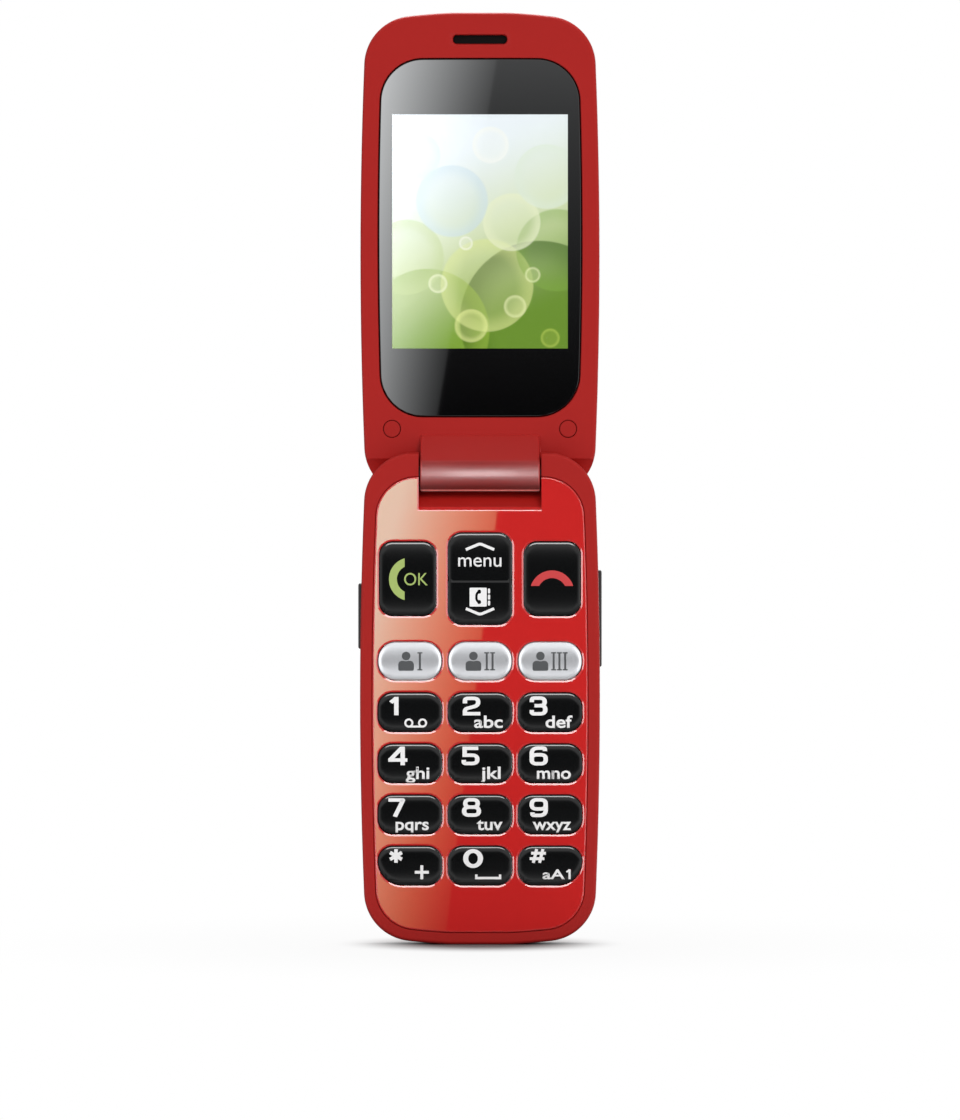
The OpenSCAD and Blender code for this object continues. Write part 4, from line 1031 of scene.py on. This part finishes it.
letters = {"2": ("abc", -1.25, 4.75), "3": ("def", -0.97, 4.66), "4": ("ghi", -0.85, 4.07),
           "5": ("jkl", 0.12, 4.29), "6": ("mno", -2.77, 4.32), "7": ("pqrs", -2.99, 3.93),
           "8": ("tuv", -0.68, 4.69), "9": ("wxyz", -3.63, 4.37)}
smallMarks = {  # below a digit, from the middle of the key: widths and points of the strokes
    "1": ((0.4, ((-0.22, -3.13), (2.64, -3.13))),),
    "star": ((0.6, ((1.01, -1.52), (3.95, -1.52))), (0.6, ((2.48, -2.98), (2.48, -0.07)))),
    "0": ((0.5, ((-0.77, -1.98), (-0.77, -2.73), (4.18, -2.73), (4.18, -1.98))),),
    "hash": ((0.46, ((4.05, -2.98), (4.05, -0.9))), (0.36, ((3.4, -1.5), (3.95, -1.08))))}
tapeMark = {"x": (-0.22, 2.64), "z": -2.39, "radius": 0.94, "hole": 0.54}
starMark = {"x": -2.9, "z": 1.87, "arm": 1.42, "stroke": 0.74}
zeroMark = {"x": -1.44, "z": 1.34, "outer": (2.07, 1.96), "inner": (1.0, 1.16)}
caseMark = {"word": "aA", "span": (-1.57, 3.05, -2.98, -0.9)}
menuMark = {"word": (-4.55, 4.46, 78.72, 80.62), "tips": ((82.27, 83.5), (69.98, 68.75)), "tipHalf": 2.95,
            "tipStroke": 0.58, "card": (-0.38, 72.37, 3.58, 3.92, 0.18), "tabs": (71.14, 72.39, 73.64),
            "ear": (73.5, 71.34), "grip": ((-0.2, 73.6), (-0.74, 73.0, 0.5), (-0.74, 71.8, 0.5), (-0.2, 71.2))}
callMark = {"ring": ((-14.44, 76.1), 2.87, 4.53, -15.7, "x"), "word": (-15.8, -10.87, 74.84, 77.38)}
endMark = {"ring": ((15.0, 73.3), 3.03, 4.63, 74.7, "z")}
people = {"head": (-0.79, -1.37, -2.02), "headZ": 0.91, "headRadius": 0.89, "headGap": 0.21, "bodyZ": -1.13,
          "body": (3.26, 2.08, (0.35, 0.8, 0.8, 0.35)), "first": (2.08, 1.41, 0.74), "step": 1.2,
          "stem": (-2.09, 1.71), "serifs": (1.57, -1.95), "serifHalf": 0.52}


def ink(name, parts, keyName, material):  # lies on the key's own top, a little proud of it
    key = capPieces[keyName]
    whole = bmesh.new()
    for part in parts:
        mesh = bpy.data.meshes.new("part")
        part.to_mesh(mesh)
        part.free()
        whole.from_mesh(mesh)
        bpy.data.meshes.remove(mesh)
    bmesh.ops.triangulate(whole, faces=whole.faces[:])
    for k, step in ((0, legend["stepX"]), (1, legend["stepZ"])):
        lo, hi = reach(whole, k)
        for i in range(1, int((hi - lo) / step) + 1):
            co, no = [0, 0, 0], [0, 0, 0]
            co[k], no[k] = lo + i * step, 1
            bmesh.ops.bisect_plane(whole, geom=whole.verts[:] + whole.edges[:] + whole.faces[:],
                                   plane_co=co, plane_no=no, dist=1e-5)
    tree = BVHTree.FromPolygons([v.co.copy() for v in key.data.vertices],
                                [tuple(p.vertices) for p in key.data.polygons])
    under = bmesh.ops.extrude_face_region(whole, geom=whole.faces[:])
    lower = {v for v in under["geom"] if isinstance(v, bmesh.types.BMVert)}
    for v in whole.verts:
        x, z = v.co.x * mm, v.co.y * mm
        hit = tree.ray_cast(Vector((x, -0.05, z)), Vector((0, 1, 0)))[0]
        y = hit.y if hit else (faceY + keys["top"]) * mm
        v.co = (x, y + (legend["sunk"] if v in lower else -legend["proud"]) * mm, z)
    bmesh.ops.recalc_face_normals(whole, faces=whole.faces[:])
    mesh = bpy.data.meshes.new(name)
    whole.to_mesh(mesh)
    whole.free()
    slot = "silver_key" if material is inkWhite else "black_key"
    return dress(addObject(name, mesh), material, keyName, slot)


def digitLegend(mark, x, z):
    parts, small = [], [band(line, wide, at=(x, z)) for wide, line in smallMarks.get(mark, ())]
    if mark in digits:
        (left, low), strokes = digits[mark]
        spread = legend["hashSpread" if mark == "hash" else "spread"]
        wide = legend["hashStroke" if mark == "hash" else "stroke"]
        parts.append(unite([band(line, wide, closed, (x + left, z + low), spread) for closed, line in strokes]))
    if mark in letters:
        body, x0, x1 = letters[mark]
        parts.append(word(body, x + x0, x + x1, z + legend["letterLow"], z + legend["letterHigh"],
                          bold=legend["bold"]))
    if mark == "1":
        rings = [[ovalRing(x + cx, z + tapeMark["z"], r, r, 40) for r in (tapeMark["radius"], tapeMark["hole"])]
                 for cx in tapeMark["x"]]
        small = [plate(*pair) for pair in rings] + small
    if mark == "star":
        c, arms = Vector((x + starMark["x"], z + starMark["z"])), []
        for k in range(3):
            a = math.radians(90 + 60 * k)
            u = Vector((math.cos(a), math.sin(a))) * starMark["arm"]
            arms.append(band((c - u, c + u), starMark["stroke"]))
        parts.append(unite(arms))
    if mark == "0":
        c = (x + zeroMark["x"], z + zeroMark["z"])
        parts.append(unite([plate(ovalRing(*c, *zeroMark["outer"]), ovalRing(*c, *zeroMark["inner"]))]))
    if mark == "hash":
        x0, x1, z0, z1 = caseMark["span"]
        parts.append(word(caseMark["word"], x + x0, x + x1, z + z0, z + z1, "A", legend["bold"]))
    return parts + [unite(small)] if small else parts


def menuLegend():
    parts, half = [word("menu", *menuMark["word"], bold=0.004)], menuMark["tipHalf"]
    for ends, tip in menuMark["tips"]:
        parts.append(unite([band(((-half, ends), (0, tip, 0.5), (half, ends)), menuMark["tipStroke"])]))
    handset = [band(menuMark["grip"], 0.5)]
    handset += [plate(padRing(-0.16, z, 0.76, 0.84, 0.34)) for z in menuMark["ear"]]
    parts.append(unite([plate(padRing(*menuMark["card"]))], handset))
    return parts + [flatShape(padRing(1.88, z, 0.46, 1.02, 0.16)) for z in menuMark["tabs"]]


def personLegend(c, x, z):  # a head and shoulders, then the key's number in strokes
    head = (x + people["head"][c], z + people["headZ"])
    body = unite([plate(padRing(head[0], z + people["bodyZ"], *people["body"]))],
                 [plate(circleRing(*head, people["headRadius"] + people["headGap"], 48))])
    parts = [body, flatShape(circleRing(*head, people["headRadius"], 48))]
    half, (low, high) = people["serifHalf"], people["stem"]
    for k in range(c + 1):
        cx = x + people["first"][c] + people["step"] * k
        strokes = [band(((cx, z + low), (cx, z + high)), 0.42)]
        strokes += [band(((cx - half, z + cz), (cx + half, z + cz)), 0.28) for cz in people["serifs"]]
        parts.append(unite(strokes))
    return parts


def makeLegends():
    for names in keyRows[:4]:
        for name in names:
            parts = digitLegend(name.split("_")[1], keyShapes[name][0], rowOf[name])
            ink("legend_" + name, parts, name, inkWhite)
    ink("legend_menu", menuLegend(), "menu_rocker", inkWhite)
    ink("legend_call", [flatShape(clipRing(*callMark["ring"])), word("OK", *callMark["word"], "K")],
        "call_key", inkGreen)
    ink("legend_end", [flatShape(clipRing(*endMark["ring"]))], "end_key", inkRed)
    for c, name in enumerate(keyRows[4]):
        ink(f"legend_memory_{c + 1}", personLegend(c, keyShapes[name][0], rowOf[name]), name, inkGrey)


makeLegends()
print("legends ready")

# carried-over parts get their finishes
carried = {
    "dome_sheet": springSteel, "main_board": boardGreen, "shield_can": springSteel, "sim_holder": springSteel,
    "battery": cellWrap, "battery_contacts": goldBrass, "usb_socket": springSteel, "microphone": springSteel,
    "loudspeaker": darkResin, "vibration_motor": springSteel, "antenna": amberFilm, "side_switches": darkResin,
    "hall_sensor": darkResin, "case_screws": springSteel, "hinge_shaft": gunMetal, "hinge_bush": gunMetal,
    "base_flex": amberFilm, "display_panel": darkResin, "backlight": lightGuide, "display_board": boardGreen,
    "earpiece": darkResin, "earpiece_mesh": meshBlack, "lid_magnet": springSteel, "lid_screws": springSteel,
    "hinge_can": springSteel, "hinge_follower": springSteel, "hinge_spring": springSteel, "lid_flex": amberFilm}
for name, material in carried.items():
    mesh = frame["nodes"][name].data
    mesh.materials.clear()
    mesh.materials.append(material)
print("carried parts:", len(carried))

# stage: floor, reflecting cards, lights
# near the phone the floor's colour holds a painted contact shadow
floorLook = {"half": 6, "paintedShadowReach": 0.04, "paintedShadowSamples": 8, "bounce": 0.9, "seen": 0.5, "oval": (1.6, 1, 1),
             "near": (0.015, 0.05, 0.0, 0.93), "far": (0.04, 0.2, 0.0, 0.07)}
cards = {  # place and height, then the glow, counted in mm on the phone, and the share that is reflected
    "lensCard": {"y": -1.0, "low": -0.05, "high": 0.25, "at": (-14.6, 120.7), "start": 0.355, "fall": 0.0265,
                 "rise": 0.0043, "twist": 0.0001, "edge": (-8.96, 109.9), "lean": 0.16667, "share": 0.075},
    "panelCard": {"y": -1.001, "low": -0.15, "high": 0.115, "at": (-10.42, 89.3), "start": 0.59,
                  "fall": 0.01824, "rise": 0.00494, "twist": 0.0, "edge": (-7.08, 2.6), "lean": 0.12137,
                  "share": 0.04}}
lamps = {  # place, aim, width, height, brightness, and the pieces that it is for
    "softKey": ((0.4, -1.3, 0.95), (0, 0, 0.1), 0.9, 0.9, 5.8, "butFloor"),
    "softTop": ((0, 0.42, 1.1), (0, 0, 0.05), 0.45, 0.7, 12.0, "butBarrel"),
    "rightStrip": ((1.0, -0.2, 0.12), (0, 0, 0.1), 0.25, 1.0, 5.0, "edges"),
    "rimTop": ((0, -0.85, 0.66), (0, 0, 0.06), 0.7, 0.3, 16.0, "edges"),
    "rimLeft": ((-0.62, -0.92, 0.06), (0, 0, 0.05), 0.3, 0.5, 9.0, "rims"),
    "rimRight": ((0.62, -0.92, 0.06), (0, 0, 0.05), 0.3, 0.5, 4.0, "rims"),
    "endLeft": ((-0.55, -0.9, 0.06), (0, 0, 0.06), 0.7, 0.9, 0.8, "silver"),
    "endRight": ((0.55, -0.9, 0.06), (0, 0, 0.06), 0.7, 0.9, 0.8, "silver"),
    "rearSheen": ((0.95, 0.95, 0.12), (0, 0, 0.1), 0.5, 0.9, 4.0, "butFloor"),
    "barrelStrip": ((0, -1.1, 0.12), (0, 0, 0.098), 0.4, 0.4, 135.0, "barrel")}
skyLook = {"plain": 0.34, "upward": 0.25, "wallWide": 0.2, "wall": (0.047, 0.105, 0.01, 1.0), "slant": -1.2,
           "strips": 31.0, "shift": 3.7, "stripLevel": (-0.3, 0.6, 0.2, 1.15),
           "stripsBelow": (-0.24, -0.14, 1.0, 0.0), "ground": (-0.8, -0.1, 0.35, 1.0), "rear": (-0.5, 0.2, 0.1, 1.0)}


def floorFinish():
    mat, t = newFinish("paleFloor", bare=True)
    add, sub, mul, mulAdd = reckoners(t)
    camera = nodeIn(t, "ShaderNodeLightPath").outputs["Is Camera Ray"]
    # the camera sees the floor in a darker colour than it bounces, which deepens the painted contact shadow
    shade = mulAdd(camera, floorLook["seen"] - floorLook["bounce"], floorLook["bounce"])
    paintedContactShade = nodeIn(t, "ShaderNodeAmbientOcclusion", {"Distance": floorLook["paintedShadowReach"], "Color": shade},
                   samples=floorLook["paintedShadowSamples"])  # painted contact shadow: ambient occlusion darkens the floor's colour where the phone stands
    cloth = nodeIn(t, "ShaderNodeBsdfDiffuse", {"Color": paintedContactShade.outputs["Color"]}).outputs[0]
    at = nodeIn(t, "ShaderNodeTexCoord").outputs["Object"]
    # the painted shadow shows only inside an oval around the phone, and white glow covers the floor beyond it
    oval = nodeIn(t, "ShaderNodeVectorMath", {0: at, 1: floorLook["oval"]}, operation="MULTIPLY").outputs[0]
    away = nodeIn(t, "ShaderNodeVectorMath", {0: oval}, operation="LENGTH").outputs["Value"]
    white = add(rampIn(t, away, *floorLook["near"]), rampIn(t, away, *floorLook["far"]))
    both = blendIn(t, mul(camera, white), cloth, nodeIn(t, "ShaderNodeEmission").outputs[0])
    nodeIn(t, "ShaderNodeOutputMaterial", {0: both})
    return mat


def stageSheet(name, corners, material):
    mesh = bpy.data.meshes.new(name)
    mesh.from_pydata(corners, [], [(0, 1, 2, 3)])
    mesh.materials.append(material)
    obj = addObject(name, mesh)
    return obj


def cardFinish(label):
    mat, t = newFinish(label, bare=True)
    add, sub, mul, mulAdd = reckoners(t)
    card, at = cards[label], spotIn(t)
    x = mul(at["X"], 1000 / 1.5)  # place on the phone, in mm
    z = mul(add(at["Z"], 0.04), 1000 / 1.5)
    dx, dz = sub(x, card["at"][0]), sub(z, card["at"][1])
    s = mulAdd(dz, card["rise"], mulAdd(dx, -card["fall"], card["start"]))
    s = mulAdd(mul(dx, dz), card["twist"], s)
    s = mathIn(t, "MINIMUM", mathIn(t, "MAXIMUM", s, 0.0), 0.72)
    edge = mulAdd(sub(z, card["edge"][1]), card["lean"], card["edge"][0])
    side = rampIn(t, sub(edge, x), -0.12, 0.12)
    if label == "lensCard":  # beyond the edge the glass still shines faintly
        low = mathIn(t, "MAXIMUM", mulAdd(sub(z, 112.0), 0.0027, 0.022), 0.0)
        s = mulAdd(s, side, mul(low, sub(1.0, side)))
        level, colour = mul(s, s), (0.97, 0.99, 1.0, 1)
    else:
        colour = mixIn(t, rampIn(t, s, 0.25, 0.7, smooth=False), (0.95, 1.0, 0.45, 1), (0.4, 1.0, 0.76, 1))
        level = mul(mul(s, s), side)
    bright = mathIn(t, "DIVIDE", level, card["share"])
    lamp = nodeIn(t, "ShaderNodeEmission", {"Color": colour, "Strength": bright}).outputs[0]
    clear = nodeIn(t, "ShaderNodeBsdfTransparent").outputs[0]
    both = nodeIn(t, "ShaderNodeAddShader", {0: lamp, 1: clear}).outputs[0]
    nodeIn(t, "ShaderNodeOutputMaterial", {0: both})
    mat.cycles.emission_sampling = "NONE"
    return mat


def receivers():
    blackCaps = [key.name for name, key in capPieces.items() if not isSilver(name)]
    groups = {"lensCard": ["windowGlass"], "panelCard": ["keypadPanel"], "rims": ["keypadPanel"],
              "barrel": ["hingeKnuckle"], "butBarrel": ["hingeKnuckle"], "butFloor": ["floor"],
              "edges": ["keypadPanel"] + blackCaps, "silver": [capPieces[name].name for name in keyRows[4]]}
    seen = {}
    for label, names in groups.items():
        seen[label] = bpy.data.collections.new(label + "Receivers")
        for name in names:
            seen[label].objects.link(bpy.data.objects[name])
        if label.startswith("but"):
            seen[label].collection_objects[0].light_linking.link_state = "EXCLUDE"
    return seen


def makeStage():
    h = floorLook["half"]
    floor = stageSheet("floor", [(-h, -h, 0), (h, -h, 0), (h, h, 0), (-h, h, 0)], floorFinish())
    floor.visible_glossy = False
    seen = receivers()
    for label, card in cards.items():
        y, low, high, x = card["y"], card["low"], card["high"], 0.05
        obj = stageSheet(label, [(-x, y, low), (x, y, low), (x, y, high), (-x, y, high)], cardFinish(label))
        obj.visible_camera = obj.visible_diffuse = obj.visible_shadow = obj.visible_volume_scatter = False
        obj.light_linking.receiver_collection = seen[label]
    for name, (place, aim, wide, tall, bright, only) in lamps.items():
        light = bpy.data.lights.new(name, "AREA")
        light.shape, light.size, light.size_y = "RECTANGLE", wide, tall
        light.energy = bright * math.pi * wide * tall
        obj = addObject(name, light)
        obj.location = place
        obj.rotation_euler = (Vector(aim) - obj.location).to_track_quat("-Z", "Y").to_euler()
        obj.light_linking.receiver_collection = seen[only]
        obj.visible_diffuse = name in ("softKey", "softTop")
        obj.visible_glossy = name != "softKey"


def makeWorld():
    scene.world = bpy.data.worlds.new("studioWorld")
    scene.world.use_nodes = True
    t = scene.world.node_tree
    t.nodes.clear()
    add, sub, mul, mulAdd = reckoners(t)
    path, at = nodeIn(t, "ShaderNodeLightPath").outputs, spotIn(t, "Generated")
    x, z, front = at["X"], at["Z"], mul(at["Y"], -1.0)

    def sky(strength):
        return nodeIn(t, "ShaderNodeBackground", {"Color": (1, 1, 1, 1), "Strength": strength}).outputs[0]

    across = mul(x, skyLook["wallWide"])
    off = mathIn(t, "SQRT", add(mul(z, z), mul(across, across)))
    dim = rampIn(t, off, *skyLook["wall"], smooth=False)  # a dark wall behind the camera
    slant = mulAdd(x, skyLook["slant"], z)
    wave = mathIn(t, "SINE", mulAdd(slant, skyLook["strips"], skyLook["shift"]))
    level = sub(rampIn(t, wave, *skyLook["stripLevel"]), 1.0)
    strips = mulAdd(rampIn(t, z, *skyLook["stripsBelow"]), level, 1.0)  # seen in the keys' lower ends
    low = mul(strips, rampIn(t, z, *skyLook["ground"]))
    back = rampIn(t, front, *skyLook["rear"])
    mirrored = sky(mul(dim, mul(low, back)))
    sharp = mathIn(t, "MAXIMUM", path["Is Glossy Ray"], path["Is Transmission Ray"])
    unseen = blendIn(t, sharp, sky(mulAdd(z, skyLook["upward"], skyLook["plain"])), mirrored)
    nodeIn(t, "ShaderNodeOutputWorld", {0: blendIn(t, path["Is Camera Ray"], unseen, sky(1.0))})


makeStage()
makeWorld()
scene.view_settings.view_transform = "Standard"
print("stage ready")
